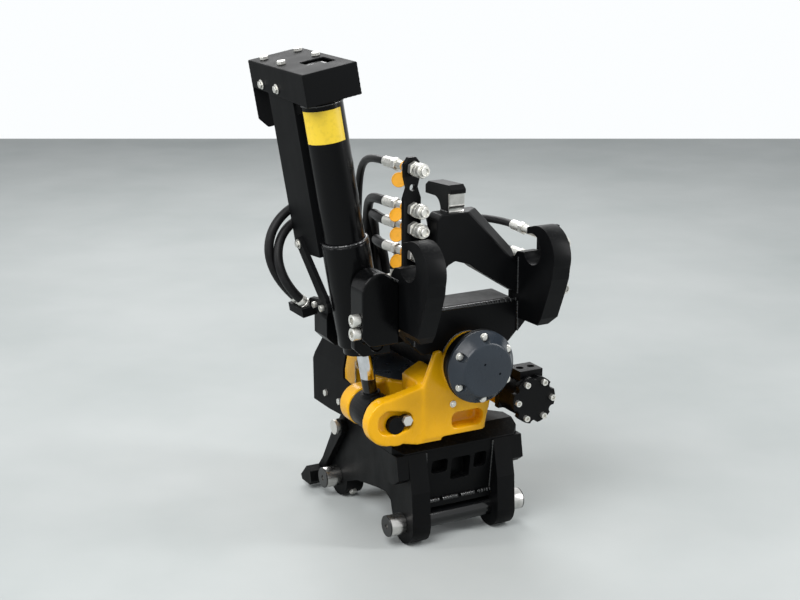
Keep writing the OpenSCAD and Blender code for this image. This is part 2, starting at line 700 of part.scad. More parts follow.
module cylinder_barrel() color(black) on_cylinder() difference() {
    translate([0, 0, collar_top - 40]) cylinder(h = barrel_top - collar_top + 40, r = barrel_r);
    translate([0, 0, collar_top - 50]) cylinder(h = barrel_top, r = bore_r);
}
module cylinder_collar() color(black) on_cylinder() difference() {
    union() {
        translate([0, 0, -14]) cylinder(h = collar_top + 14, r = collar_r);
        bar_y(0, 0, -block_face - 20, block_face + 20, trunnion_r);
    }
    translate([0, 0, -20]) cylinder(h = collar_top - 20, r = bore_r);
    translate([0, 0, collar_top - 40]) cylinder(h = 50, r = barrel_r);
}
module cylinder_gland() color(black) on_cylinder() difference() {
    union() {
        translate([0, 0, -30]) cylinder(h = 16, r = 40);
        translate([0, 0, -14]) cylinder(h = 22, r = bore_r);
    }
    translate([0, 0, -31]) cylinder(h = 60, r = rod_r + play);
}
module cylinder_end_cap() color(black) on_cylinder() {
    translate([0, 0, barrel_top]) cylinder(h = 20, r = barrel_r);
    block([-34, -36, barrel_top + 20], [34, 60, hood_top - sheet]);
}
hood_y = [-54, 200];
hood_screw_x = [-32, 42];
module hood_side(x0, x1) plate_yz(x0, x1) polygon([
    [hood_y[0] + sheet, hood_top - sheet], [hood_y[0] + sheet, hood_top - 64], [40, hood_top - 60],
    [hood_y[1], hood_top - 56], [hood_y[1], hood_top - sheet]
]);
module hood() color(black) on_cylinder() {
    difference() {
        block([-hood_left, hood_y[0], hood_top - sheet], [hood_right, hood_y[1], hood_top]);
        block([-6, 20, hood_top - 10], [22, 58, hood_top + 1]);
        block([22, 2, hood_top - 10], [44, 58, hood_top + 1]);
        for (x = hood_screw_x, y = [84, 166]) bar_z(x, y, hood_top - 10, hood_top + 1, 5);
    }
    block([-hood_left, hood_y[0], hood_top - 64], [hood_right, hood_y[0] + sheet, hood_top - sheet]);
    plate_xz(hood_y[1] - sheet, hood_y[1]) polygon([
        [-hood_left, hood_top - sheet], [-hood_left, hood_top - 120], [-hood_left + 18, hood_top - 142],
        [hood_right - 18, hood_top - 142], [hood_right, hood_top - 120], [hood_right, hood_top - sheet]
    ]);
    hood_side(-hood_left, -hood_left + sheet);
    hood_side(hood_right - sheet, hood_right);
}
module hood_screws() color(zinc) on_cylinder()
    for (x = hood_screw_x, y = [84, 166]) translate([x, y, hood_top]) hex_screw(10, 20);
guard_x = hood_left - sheet - 1;
guard_back = 136;
module hose_guard() color(black) on_cylinder() difference() {
    union() {
        plate_yz(-guard_x, -guard_x + sheet) polygon([
            [24, hood_top - sheet], [24, 172], [112, 164], [guard_back, 178], [guard_back, hood_top - sheet]
        ]);
        block([-guard_x + sheet, 24, 172], [-16, 29, barrel_top - 20]);
        block([-guard_x + sheet, guard_back - sheet, 200], [6, guard_back, hood_top - sheet]);
        for (x = hood_screw_x) block([x - 10, 72, hood_top - 25], [x + 10, 178, hood_top - sheet]);
        block([-guard_x + sheet, 72, hood_top - 25], [hood_screw_x[1], 178, hood_top - 17]);
    }
    translate([0, 0, 100]) cylinder(h = 400, r = barrel_r);
    translate([0, 0, 100]) cylinder(h = collar_top - 100, r = collar_r);
    block([-34.5, -36, barrel_top + 20], [34.5, 60.5, hood_top]);
    for (x = hood_screw_x, y = [84, 166]) bar_z(x, y, hood_top - 20, hood_top, 5);
}
bracket_x = -guard_x - 9;
bracket_at = [[62, 68], [30, 68]];
module guard_bracket() color(black) on_cylinder() difference() {
    union() {
        plate_yz(bracket_x, -guard_x) {
            link([98, 188], 13, [26, 84], 15);
            link([84, 62], 14, [22, 72], 14);
        }
        block([bracket_x - 27, 76, 42], [bracket_x + 5, 142, 60]);
    }
    for (p = bracket_at) bar_x(p.x, p.y, bracket_x - 1, bracket_x + 8, 4);
}
module bracket_screws() color(zinc) on_cylinder()
    for (p = bracket_at) translate([bracket_x, p.x, p.y]) rotate([0, -90, 0]) cap_screw(8, 8);
module loop_hoses() color(rubber) on_cylinder() for (k = [0, 1]) {
    y = 96 + 30 * k;
    z = 222 + 30 * k;
    hose([
        [-12, guard_back + 12.3, z], [-24, guard_back + 12.3, z], [-54 - 8 * k, guard_back + 11, z - 3],
        [-80 - 22 * k, 138, 202 + 12 * k], [-94 - 28 * k, 126 + 8 * k, 158 - 2 * k],
        [-90 - 22 * k, y + 4, 112], [bracket_x - 18 - 8 * k, y, 87], [bracket_x - 13, y, 68]
    ], 9.5);
    bar_z(bracket_x - 13, y, 60, 78, 11.5);
    bar_x(guard_back + 12.3, z, -20, 4, 11.5);
    bar_y(-4, z, guard_back, guard_back + 16, 9);
}

module piston_rod() color(chrome) on_rod() {
    translate([0, 0, 36]) cylinder(h = 264, r = rod_r);
    translate([0, 0, 300]) cylinder(h = 34, r = bore_r - play);
}
module rod_eye() color(black) on_rod() difference() {
    union() {
        bar_y(0, 0, -31, 31, 40);
        cylinder(h = 44, r = 20);
    }
    bar_y(0, 0, -32, 32, pin_r + play);
    translate([0, 0, 36]) cylinder(h = 20, r = rod_r);
}

module placed() translate([shift_x, shift_y, 0]) children();
placed() hitch_deck();
placed() left_cheek();
placed() right_cheek();
placed() hitch_front_wall();
placed() hitch_rear_wall();
placed() front_shaft();
placed() rear_shaft();
placed() shaft_lock_screws();
placed() slew_spindle();
placed() thrust_ring();
placed() worm_wheel();
placed() lock_pivot();
placed() lock_lever();
placed() rotor_housing();
placed() gear_lid();
placed() slew_seal();
placed() tilt_axle();
placed() front_flange();
placed() tilt_cover();
placed() cover_screws();
placed() rear_tilt_cap();
placed() side_cover();
placed() side_cover_screws();
placed() hydraulic_motor();
placed() motor_end_cap();
placed() motor_screws();
placed() motor_port_block();
placed() rod_pin();
placed() pin_bolt();
placed() worm_shaft();
placed() tilt_hub();
placed() front_plate();
placed() top_plate();
placed() rear_beam();
placed() left_hook_plate();
placed() right_hook_plate();
placed() cross_plate();
placed() centre_hook();
placed() tilt_bushes();
placed() front_trunnion_block();
placed() rear_trunnion_block();
placed() trunnion_screws();
placed() left_coupler_plate();
placed() left_couplers();
placed() right_coupler_plate();
placed() right_couplers();
placed() coupler_tags();
placed() coupler_hoses();
placed() cylinder_barrel();
placed() cylinder_collar();
placed() cylinder_gland();
placed() cylinder_end_cap();
placed() hood();
placed() hood_screws();
placed() hose_guard();
placed() guard_bracket();
placed() bracket_screws();
placed() loop_hoses();
placed() piston_rod();
placed() rod_eye();
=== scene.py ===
"""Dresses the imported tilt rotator.

The solids get their paint and metal finishes and their broken edges. Castings, couplers, tags, hoses, weld
beads and small screws are made anew and ride on the bodies of the solids. A pale floor, soft light and a
camera are set round them. The sizes of pieces are in millimetres. Finishes and the stage are in metres.
"""

from __future__ import annotations

import logging
import math
from dataclasses import dataclass
from enum import Enum
from typing import NamedTuple, Sequence

import bpy
from mathutils import Matrix, Vector

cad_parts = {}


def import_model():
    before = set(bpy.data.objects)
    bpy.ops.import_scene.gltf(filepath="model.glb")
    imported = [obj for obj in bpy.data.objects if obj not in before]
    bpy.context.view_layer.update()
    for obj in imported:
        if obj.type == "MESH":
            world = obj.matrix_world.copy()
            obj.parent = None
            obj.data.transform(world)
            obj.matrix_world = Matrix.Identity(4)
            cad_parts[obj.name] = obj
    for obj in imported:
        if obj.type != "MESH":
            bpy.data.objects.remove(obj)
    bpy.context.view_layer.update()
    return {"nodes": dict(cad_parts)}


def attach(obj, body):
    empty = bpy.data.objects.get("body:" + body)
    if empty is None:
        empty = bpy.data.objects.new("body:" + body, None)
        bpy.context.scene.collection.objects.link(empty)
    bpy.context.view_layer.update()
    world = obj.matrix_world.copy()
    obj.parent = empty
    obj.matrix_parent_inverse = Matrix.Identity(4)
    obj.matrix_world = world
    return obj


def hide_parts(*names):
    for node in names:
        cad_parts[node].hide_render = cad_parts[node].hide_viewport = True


LOG = logging.getLogger("tilt_rotator")

Point = tuple[float, float, float]
Colour = tuple[float, float, float]
Span = tuple[float, float]
Rows = Sequence[tuple[float, float]]
Stretch = tuple[int, Rows]
Socket = bpy.types.NodeSocket

PER_METRE = 1000.0
UP = Vector((0.0, 0.0, 1.0))
FRONT = Vector((0.0, -1.0, 0.0))
BACK = Vector((0.0, 1.0, 0.0))

# The slew axis in the part's frame, the tilt axle's height, and the cylinder's lean and trunnions
SLEW_AXIS = Vector((0.070, 0.034, 0.0))
TILT_Z = 392.0
LEAN = math.radians(9.6)
TRUNNION = Vector((-0.190151, -0.100, 0.445438))

# Where the couplers stand in their plates, which way they open, and how far they reach back
LEFT_AT = (-94.0, -133.0)
LEFT_ALONG = Vector((math.sin(math.radians(6.0)), -math.cos(math.radians(6.0)), 0.0))
LEFT_HEIGHTS = (780.0, 699.0, 660.0, 608.0)
LEFT_SEAT = 5.0
LEFT_TAIL = 96.0
RIGHT_AT = (188.0, -206.0)
RIGHT_HEIGHTS = (622.0, 566.0, 530.0)
RIGHT_TAIL = 144.0

SMOOTH_ANGLE = math.radians(35)
MERGE_DISTANCE = 1e-5


def mm(x: float, y: float, z: float) -> Vector:
    """Point of the part's frame in metres, from millimetres off the slew axis."""
    return Vector((x, y, z)) / PER_METRE + SLEW_AXIS


def on_cylinder(x: float, y: float, z: float) -> Vector:
    """Point of the part's frame in metres, from millimetres off the trunnions in the cylinder's own frame."""
    local = Vector((x, y, z)) / PER_METRE
    return Matrix.Rotation(-LEAN, 3, "Y") @ local + TRUNNION + SLEW_AXIS


def cylinder_way(x: float, y: float, z: float) -> Vector:
    """Direction in the part's frame, from one in the leaning cylinder's frame."""
    return on_cylinder(x, y, z) - on_cylinder(0, 0, 0)


def metres(rows: Rows) -> list[tuple[float, float]]:
    """Rows of a profile in metres, from millimetres."""
    return [(r / PER_METRE, z / PER_METRE) for r, z in rows]


def shade(colour: Colour, factor: float) -> Colour:
    """A colour made darker or lighter by a factor."""
    return tuple(factor * channel for channel in colour)


def deselect() -> None:
    """Leaves nothing selected and the scene in object mode."""
    if bpy.context.object and bpy.context.object.mode != "OBJECT":
        bpy.ops.object.mode_set(mode="OBJECT")
    bpy.ops.object.select_all(action="DESELECT")


def activate(piece: bpy.types.Object) -> None:
    """Leaves one piece selected and active.

    Args:
        piece: The piece.
    """
    deselect()
    piece.select_set(True)
    bpy.context.view_layer.objects.active = piece


def join(pieces: Sequence[bpy.types.Object]) -> bpy.types.Object:
    """Joins pieces into the first of them.

    Args:
        pieces: Pieces to join.

    Returns:
        The joined piece.
    """
    activate(pieces[0])
    for piece in pieces[1:]:
        piece.select_set(True)
    bpy.ops.object.join()
    return pieces[0]


def apply_modifier(piece: bpy.types.Object, kind: str, **values: object) -> None:
    """Adds a modifier to the active piece and applies it.

    Args:
        piece: Piece to change.
        kind: Type of the modifier.
        **values: Its settings.
    """
    modifier = piece.modifiers.new(kind.lower(), kind)
    for name, value in values.items():
        setattr(modifier, name, value)
    bpy.ops.object.modifier_apply(modifier=modifier.name)


class Grain(NamedTuple):
    """A noise pattern: cells in a metre, octaves, and factors on the three axes for streaks."""

    scale: float
    detail: float
    stretch: Point = (1.0, 1.0, 1.0)


# Patterns of sprayed paint and of sand castings
CLOUDS = Grain(9.0, 4.0)
DUST = Grain(210.0, 5.0)
WIPES = Grain(24.0, 6.0, (1.0, 1.0, 0.5))
PEEL = Grain(420.0, 2.0)
SAND = Grain(95.0, 4.0)
WAVES = Grain(17.0, 2.0)
# Patterns of metal, rubber and plastic
STAINS = Grain(60.0, 5.0)
TOOL_MARKS = Grain(900.0, 2.0)
SCUFFS = Grain(70.0, 5.0)
WRAP_PRINT = Grain(1400.0, 1.0)
RUBS = Grain(130.0, 5.0)
HAZE = Grain(40.0, 3.0)
MOULD_SKIN = Grain(500.0, 2.0)
# Patterns of the floor
FLOOR_CLOUDS = Grain(1.6, 6.0)
FLOOR_WEAR = Grain(5.0, 5.0)

# Heights of relief
PEEL_HEIGHT = 0.0006
SAND_HEIGHT = 0.0022
WAVE_HEIGHT = 0.006
MARK_HEIGHT = 0.0003
PRINT_HEIGHT = 0.0004

DUST_GREY = (0.16, 0.16, 0.155)
COAT_ROUGH = 0.12


class Sheet:
    """Node tree of one finish, with the few moves that every finish here is made of."""

    def __init__(self, name: str) -> None:
        """Starts a material with a principled shader.

        Args:
            name: Name of the material.
        """
        self.material = bpy.data.materials.new(name)
        self.material.use_nodes = True
        self.tree = self.material.node_tree
        self.tree.nodes.clear()
        output = self.tree.nodes.new("ShaderNodeOutputMaterial")
        self.shader = self.tree.nodes.new("ShaderNodeBsdfPrincipled")
        self.tree.links.new(self.shader.outputs[0], output.inputs[0])
        self.place = self.tree.nodes.new("ShaderNodeTexCoord")

    def set(self, **values: float | Colour) -> None:
        """Sets constant sockets of the shader.

        Args:
            **values: Value of each socket, with underscores for the blanks in its name.
        """
        for name, value in values.items():
            socket = self.shader.inputs[name.replace("_", " ")]
            socket.default_value = (*value, 1.0) if isinstance(value, tuple) else value

    def link(self, output: Socket, name: str) -> None:
        """Links an output to a socket of the shader."""
        self.tree.links.new(output, self.shader.inputs[name])

    def noise(self, grain: Grain) -> Socket:
        """Noise on the object's own coordinates.

        Args:
            grain: Pattern of the noise.

        Returns:
            The grey value.
        """
        mapping = self.tree.nodes.new("ShaderNodeMapping")
        mapping.inputs["Scale"].default_value = grain.stretch
        self.tree.links.new(self.place.outputs["Object"], mapping.inputs["Vector"])
        node = self.tree.nodes.new("ShaderNodeTexNoise")
        node.inputs["Scale"].default_value = grain.scale
        node.inputs["Detail"].default_value = grain.detail
        self.tree.links.new(mapping.outputs[0], node.inputs["Vector"])
        return node.outputs["Fac"]

    def remap(self, value: Socket, source: Span, target: Span = (0.0, 1.0)) -> Socket:
        """Maps a grey value from one range to another, clamped.

        Args:
            value: Grey value to map.
            source: Start and end of its range.
            target: Result at the start and at the end.

        Returns:
            The mapped value.
        """
        node = self.tree.nodes.new("ShaderNodeMapRange")
        self.tree.links.new(value, node.inputs["Value"])
        for name, number in zip(("From Min", "From Max", "To Min", "To Max"), (*source, *target)):
            node.inputs[name].default_value = number
        return node.outputs["Result"]

    def inverse(self, value: Socket) -> Socket:
        """A grey value taken from 1."""
        return self.remap(value, (0.0, 1.0), (1.0, 0.0))

    def times(self, a: Socket, b: Socket) -> Socket:
        """Multiplies two grey values.

        Args:
            a: First value.
            b: Second value.

        Returns:
            Their product.
        """
        node = self.tree.nodes.new("ShaderNodeMath")
        node.operation = "MULTIPLY"
        self.tree.links.new(a, node.inputs[0])
        self.tree.links.new(b, node.inputs[1])
        return node.outputs[0]

    def blend(self, amount: Socket, a: Colour | Socket, b: Colour | Socket) -> Socket:
        """Mixes two colours by a grey value.

        Args:
            amount: Share of the second colour.
            a: First colour, or an output that carries one.
            b: Second colour, or an output that carries one.

        Returns:
            The mixed colour.
        """
        node = self.tree.nodes.new("ShaderNodeMix")
        node.data_type = "RGBA"
        self.tree.links.new(amount, node.inputs["Factor"])
        for socket, value in ((node.inputs[6], a), (node.inputs[7], b)):
            if isinstance(value, tuple):
                socket.default_value = (*value, 1.0)
            else:
                self.tree.links.new(value, socket)
        return node.outputs[2]

    def between(self, axis: str, low: float, high: float, soft: float = 0.0004) -> Socket:
        """Grey value that is 1 between two stations on an axis of the object and 0 outside them.

        Args:
            axis: X, Y or Z.
            low: First station.
            high: Second station.
            soft: Width of the passage at each station.

        Returns:
            The grey value.
        """
        split = self.tree.nodes.new("ShaderNodeSeparateXYZ")
        self.tree.links.new(self.place.outputs["Object"], split.inputs[0])
        rise = self.remap(split.outputs[axis], (low - soft, low + soft))
        fall = self.remap(split.outputs[axis], (high - soft, high + soft), (1.0, 0.0))
        return self.times(rise, fall)

    def facing_up(self) -> Socket:
        """Finds the faces that dust can lie on.

        Returns:
            A grey value that is 1 on faces that look up and 0 on the rest.
        """
        split = self.tree.nodes.new("ShaderNodeSeparateXYZ")
        self.tree.links.new(self.place.outputs["Normal"], split.inputs[0])
        return self.remap(split.outputs["Z"], (0.55, 0.95))

    def bump(self, height: Socket, strength: float, distance: float, below: Socket | None = None) -> Socket:
        """Turns a grey value into relief.

        Args:
            height: Grey value.
            strength: Weight of the relief.
            distance: Its height.
            below: Normal of another relief under it.

        Returns:
            The new normal.
        """
        node = self.tree.nodes.new("ShaderNodeBump")
        node.inputs["Strength"].default_value = strength
        node.inputs["Distance"].default_value = distance
        self.tree.links.new(height, node.inputs["Height"])
        if below is not None:
            self.tree.links.new(below, node.inputs["Normal"])
        return node.outputs["Normal"]


@dataclass(frozen=True)
class Paint:
    """Sprayed paint: an orange-peel skin, a little dust on top, uneven gloss, and the sand of a casting."""

    name: str
    colour: Colour
    rough: float
    coat: float = 0.0
    dust: float = 0.12
    peel: float = 0.10
    cast: float = 0.0
    level: float = 0.3
    smear: float = 0.22
    depth: float = 0.80

    def build(self) -> bpy.types.Material:
        """Makes the material.

        Returns:
            The material.
        """
        sheet = Sheet(self.name)
        cloud = sheet.remap(sheet.noise(CLOUDS), (0.35, 0.68))
        skin = sheet.blend(cloud, shade(self.colour, self.depth), self.colour)
        specks = sheet.remap(sheet.noise(DUST), (0.50, 0.78), (0.0, self.dust))
        sheet.link(sheet.blend(sheet.times(specks, sheet.facing_up()), skin, DUST_GREY), "Base Color")
        gloss = ((1.0 - self.smear) * self.rough, (1.0 + self.smear) * self.rough)
        sheet.link(sheet.remap(sheet.noise(WIPES), (0.3, 0.7), gloss), "Roughness")
        relief = sheet.bump(sheet.noise(PEEL), self.peel, PEEL_HEIGHT)
        if self.cast:
            relief = sheet.bump(sheet.noise(SAND), self.cast, SAND_HEIGHT, relief)
            relief = sheet.bump(sheet.noise(WAVES), 0.8 * self.cast, WAVE_HEIGHT, relief)
        sheet.link(relief, "Normal")
        sheet.set(Coat_Weight=self.coat, Coat_Roughness=COAT_ROUGH, Specular_IOR_Level=self.level)
        return sheet.material


@dataclass(frozen=True)
class PartPainted:
    """Black and bright steel on one piece, parted at stations on its axes; the black is paint on the shafts
    and the hook.
    """

    name: str
    bare: tuple[tuple[str, float, float], ...]
    colour: Colour
    rough: float
    streak: Point
    painted: tuple[str, float, float] | None = None
    paint: Colour = (0.0030, 0.0032, 0.0036)
    paint_rough: float = 0.14
    level: float = 0.45

    def build(self) -> bpy.types.Material:
        """Makes the material.

        Returns:
            The material.
        """
        sheet = Sheet(self.name)
        open_steel = sheet.between(*self.bare[0])
        for bound in self.bare[1:]:
            open_steel = sheet.times(open_steel, sheet.between(*bound))
        if self.painted:
            open_steel = sheet.times(open_steel, sheet.inverse(sheet.between(*self.painted)))
        mask = sheet.inverse(open_steel)
        patch = sheet.remap(sheet.noise(STAINS), (0.35, 0.7))
        bright = sheet.blend(patch, self.colour, shade(self.colour, 0.75))
        sheet.link(sheet.blend(mask, bright, self.paint), "Base Color")
        sheet.link(sheet.inverse(mask), "Metallic")
        sheet.link(sheet.remap(mask, (0.0, 1.0), (self.rough, self.paint_rough)), "Roughness")
        lines = sheet.noise(TOOL_MARKS._replace(stretch=self.streak))
        sheet.link(sheet.bump(lines, 0.06, MARK_HEIGHT), "Normal")
        sheet.set(Specular_IOR_Level=self.level)
        return sheet.material


@dataclass(frozen=True)
class Metal:
    """Bare or plated metal with fine marks, streaked along one axis where it was turned or drawn."""

    name: str
    colour: Colour
    rough: float
    streak: Point = (1.0, 1.0, 1.0)
    stain: float = 0.25
    marks: float = 0.08

    def build(self) -> bpy.types.Material:
        """Makes the material.

        Returns:
            The material.
        """
        sheet = Sheet(self.name)
        patch = sheet.remap(sheet.noise(STAINS), (0.35, 0.7))
        sheet.link(sheet.blend(patch, self.colour, shade(self.colour, 1.0 - self.stain)), "Base Color")
        lines = sheet.noise(TOOL_MARKS._replace(stretch=self.streak))
        gloss = (0.75 * self.rough, 1.35 * self.rough)
        sheet.link(sheet.remap(lines, (0.25, 0.75), gloss), "Roughness")
        sheet.link(sheet.bump(lines, self.marks, MARK_HEIGHT), "Normal")
        sheet.set(Metallic=1.0)
        return sheet.material


@dataclass(frozen=True)
class Rubber:
    """Cover of a hydraulic hose: matt, with the print of the cloth it was cured in."""

    name: str
    colour: Colour
    rough: float
    level: float = 0.18

    def build(self) -> bpy.types.Material:
        """Makes the material.

        Returns:
            The material.
        """
        sheet = Sheet(self.name)
        scuff = sheet.remap(sheet.noise(SCUFFS), (0.45, 0.75))
        sheet.link(sheet.blend(scuff, self.colour, shade(self.colour, 1.9)), "Base Color")
        sheet.link(sheet.remap(scuff, (0.0, 1.0), (self.rough, 1.2 * self.rough)), "Roughness")
        sheet.link(sheet.bump(sheet.noise(WRAP_PRINT), 0.35, PRINT_HEIGHT), "Normal")
        sheet.set(Specular_IOR_Level=self.level)
        return sheet.material


@dataclass(frozen=True)
class Plastic:
    """Moulded plastic: plain colour, slight haze and a few rubs."""

    name: str
    colour: Colour
    rough: float

    def build(self) -> bpy.types.Material:
        """Makes the material.

        Returns:
            The material.
        """
        sheet = Sheet(self.name)
        rub = sheet.remap(sheet.noise(RUBS), (0.5, 0.75), (0.0, 0.45))
        sheet.link(sheet.blend(rub, self.colour, shade(self.colour, 0.7)), "Base Color")
        gloss = (0.8 * self.rough, 1.2 * self.rough)
        sheet.link(sheet.remap(sheet.noise(HAZE), (0.3, 0.7), gloss), "Roughness")
        sheet.link(sheet.bump(sheet.noise(MOULD_SKIN), 0.08, MARK_HEIGHT), "Normal")
        return sheet.material


class Coat(Enum):
    """The finishes of this part."""

    WELDMENT = Paint("weldment_black", (0.0026, 0.0028, 0.0032), 0.40, level=0.10)
    HITCH = Paint("hitch_black", (0.0026, 0.0028, 0.0031), 0.44, dust=0.10, level=0.08)
    BARREL = Paint("barrel_black", (0.0024, 0.0025, 0.0028), 0.20, dust=0.02, level=0.12)
    SHEET_METAL = Paint("sheet_black", (0.0030, 0.0033, 0.0037), 0.60, dust=0.02, level=0.08, smear=0.06)
    MOTOR = Paint("motor_black", (0.0026, 0.0027, 0.0030), 0.38, cast=0.15, level=0.12)
    SEAM = Paint("seam_black", (0.0050, 0.0052, 0.0058), 0.16, coat=0.5, dust=0.0, peel=0.05, level=0.4)
    CASTING = Paint("casting_yellow", (0.86, 0.43, 0.004), 0.26, coat=0.10, dust=0.0, cast=0.14, level=0.22)
    COVER = Paint("cover_graphite", (0.028, 0.036, 0.047), 0.30, dust=0.03, cast=0.14, level=0.3)
    BARE = Metal("turned_steel", (0.58, 0.57, 0.55), 0.30, (0.12, 1.0, 1.0), 0.35)
    SHAFT = PartPainted(
        "shaft_steel", (("X", -0.0872, 0.2272),), (0.60, 0.59, 0.57), 0.26, (0.12, 1.0, 1.0),
        painted=("X", -0.052, 0.192),
    )
    # The rod is black below 352 mm on its axis and chrome above it
    ROD = PartPainted("rod_chrome", (("Z", 0.352, 2.0),), (0.74, 0.75, 0.77), 0.08, (1.0, 1.0, 0.2))
    HOOK = PartPainted(
        "hook_black", (("Y", -0.170, -0.1445), ("Z", 0.684, 0.7312)), (0.66, 0.65, 0.62), 0.24,
        (0.2, 1.0, 1.0), paint_rough=0.38, level=0.1,
    )
    ZINC = Metal("zinc_plate", (0.24, 0.256, 0.262), 0.22, stain=0.4, marks=0.12)
    BRONZE = Metal("bronze", (0.55, 0.36, 0.16), 0.32, (1.0, 1.0, 0.2), 0.25)
    HOSE = Rubber("hose_cover", (0.0050, 0.0050, 0.0054), 0.44)
    SEAL = Rubber("seal_rubber", (0.006, 0.006, 0.006), 0.6)
    TAG = Plastic("tag_orange", (0.88, 0.40, 0.015), 0.4)
    LABEL = Plastic("plain_yellow", (0.80, 0.56, 0.03), 0.35)

    def material(self) -> bpy.types.Material:
        """The material of this finish, made once."""
        known = bpy.data.materials.get(self.value.name)
        return known if known else self.value.build()


NODE_COATS: dict[Coat, tuple[str, ...]] = {
    Coat.HITCH: (
        "hitch_deck", "left_cheek", "right_cheek", "hitch_front_wall", "hitch_rear_wall", "lock_lever",
    ),
    Coat.SHAFT: ("front_shaft", "rear_shaft"),
    Coat.BARE: ("slew_spindle", "tilt_axle", "worm_shaft"),
    Coat.ZINC: (
        "shaft_lock_screws", "lock_pivot", "cover_screws", "side_cover_screws", "motor_screws", "pin_bolt",
        "trunnion_screws", "left_couplers", "right_couplers", "hood_screws", "bracket_screws",
    ),
    Coat.BRONZE: ("thrust_ring", "worm_wheel", "tilt_bushes"),
    Coat.CASTING: ("rotor_housing",),
    Coat.COVER: ("gear_lid", "tilt_cover", "rear_tilt_cap"),
    Coat.SEAL: ("slew_seal",),
    Coat.MOTOR: (
        "front_flange", "hydraulic_motor", "motor_end_cap", "motor_port_block", "rod_eye", "rod_pin",
    ),
    Coat.WELDMENT: (
        "tilt_hub", "front_plate", "top_plate", "rear_beam", "left_hook_plate", "right_hook_plate",
        "cross_plate", "front_trunnion_block", "rear_trunnion_block", "left_coupler_plate",
        "right_coupler_plate",
    ),
    Coat.HOOK: ("centre_hook",),
    Coat.BARREL: ("cylinder_barrel", "cylinder_collar", "cylinder_gland", "cylinder_end_cap"),
    Coat.SHEET_METAL: ("side_cover", "hood", "hose_guard", "guard_bracket"),
    Coat.ROD: ("piston_rod",),
    Coat.TAG: ("coupler_tags",),
    Coat.HOSE: ("coupler_hoses", "loop_hoses"),
}

# Width of the broken edges, and the nodes that have them
EDGE_BREAKS: dict[float, tuple[str, ...]] = {
    3.0: (
        "hitch_deck", "left_cheek", "right_cheek", "hitch_front_wall", "hitch_rear_wall", "left_hook_plate",
        "right_hook_plate", "cross_plate", "front_plate", "centre_hook", "rear_trunnion_block",
    ),
    2.2: ("hose_guard", "side_cover", "top_plate", "rear_beam", "guard_bracket"),
    1.2: (
        "front_shaft", "rear_shaft", "lock_lever", "front_flange", "motor_end_cap", "motor_port_block",
        "left_coupler_plate", "right_coupler_plate", "rod_eye", "rod_pin",
    ),
    0.6: (
        "motor_screws", "trunnion_screws", "hood_screws", "bracket_screws", "pin_bolt",
        "side_cover_screws", "shaft_lock_screws",
    ),
}


@dataclass
class FrameDressing:
    """Gives the carried-over solids their finishes and broken edges."""

    nodes: dict[str, bpy.types.Object]
    flat_angle: float = math.radians(0.8)
    edge_angle: float = math.radians(32)
    segments: int = 3

    def paint(self) -> None:
        """Assigns each node its finish."""
        for coat, names in NODE_COATS.items():
            for name in names:
                node = self.nodes[name]
                for slot in node.material_slots:
                    slot.material = coat.material()
                if not node.material_slots:
                    node.data.materials.append(coat.material())
                LOG.info("%s: %s", name, coat.value.name)

    def break_edges(self) -> None:
        """Adds small live bevels, so that edges catch the light as worked edges do."""
        for width, names in EDGE_BREAKS.items():
            for name in names:
                node = self.nodes[name]
                weld = node.modifiers.new("merge", "WELD")
                weld.merge_threshold = MERGE_DISTANCE
                flat = node.modifiers.new("flatten", "DECIMATE")
                flat.decimate_type = "DISSOLVE"
                flat.angle_limit = self.flat_angle
                bevel = node.modifiers.new("edge", "BEVEL")
                bevel.width = width / PER_METRE
                bevel.segments = self.segments
                bevel.limit_method = "ANGLE"
                bevel.angle_limit = self.edge_angle
                bevel.harden_normals = True
                bevel.use_clamp_overlap = True


@dataclass
class HoseRun:
    """One hydraulic hose on a smooth curve that leaves both of its fittings in line with them."""

    name: str
    body: str
    node: str
    ends: tuple[Vector, Vector]
    ways: tuple[Vector, Vector]
    reach: Span
    radius: float

    def route(self, count: int = 32) -> list[Vector]:
        """Points of the smooth route.

        Args:
            count: Number of points.

        Returns:
            The points, in order.
        """
        first, last = self.ends
        out = first + self.reach[0] / PER_METRE * self.ways[0].normalized()
        back = last + self.reach[1] / PER_METRE * self.ways[1].normalized()
        way = []
        for k in range(count):
            t = k / (count - 1)
            u = 1.0 - t
            way.append(u**3 * first + 3 * u * u * t * out + 3 * u * t * t * back + t**3 * last)
        return way

    def build(self) -> None:
        way = self.route()
        radius = self.radius / PER_METRE
        curve = bpy.data.curves.new(self.name, "CURVE")
        curve.dimensions = "3D"
        curve.bevel_depth = radius
        curve.bevel_resolution = 5
        curve.use_fill_caps = True
        spline = curve.splines.new("POLY")
        spline.points.add(len(way) - 1)
        for point, at in zip(spline.points, way):
            point.co = (*at, 1.0)
        spline.use_smooth = True
        hose = bpy.data.objects.new(self.name, curve)
        bpy.context.collection.objects.link(hose)
        hose.data.materials.append(Coat.HOSE.material())
        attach(hose, self.body)
        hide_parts(self.node)


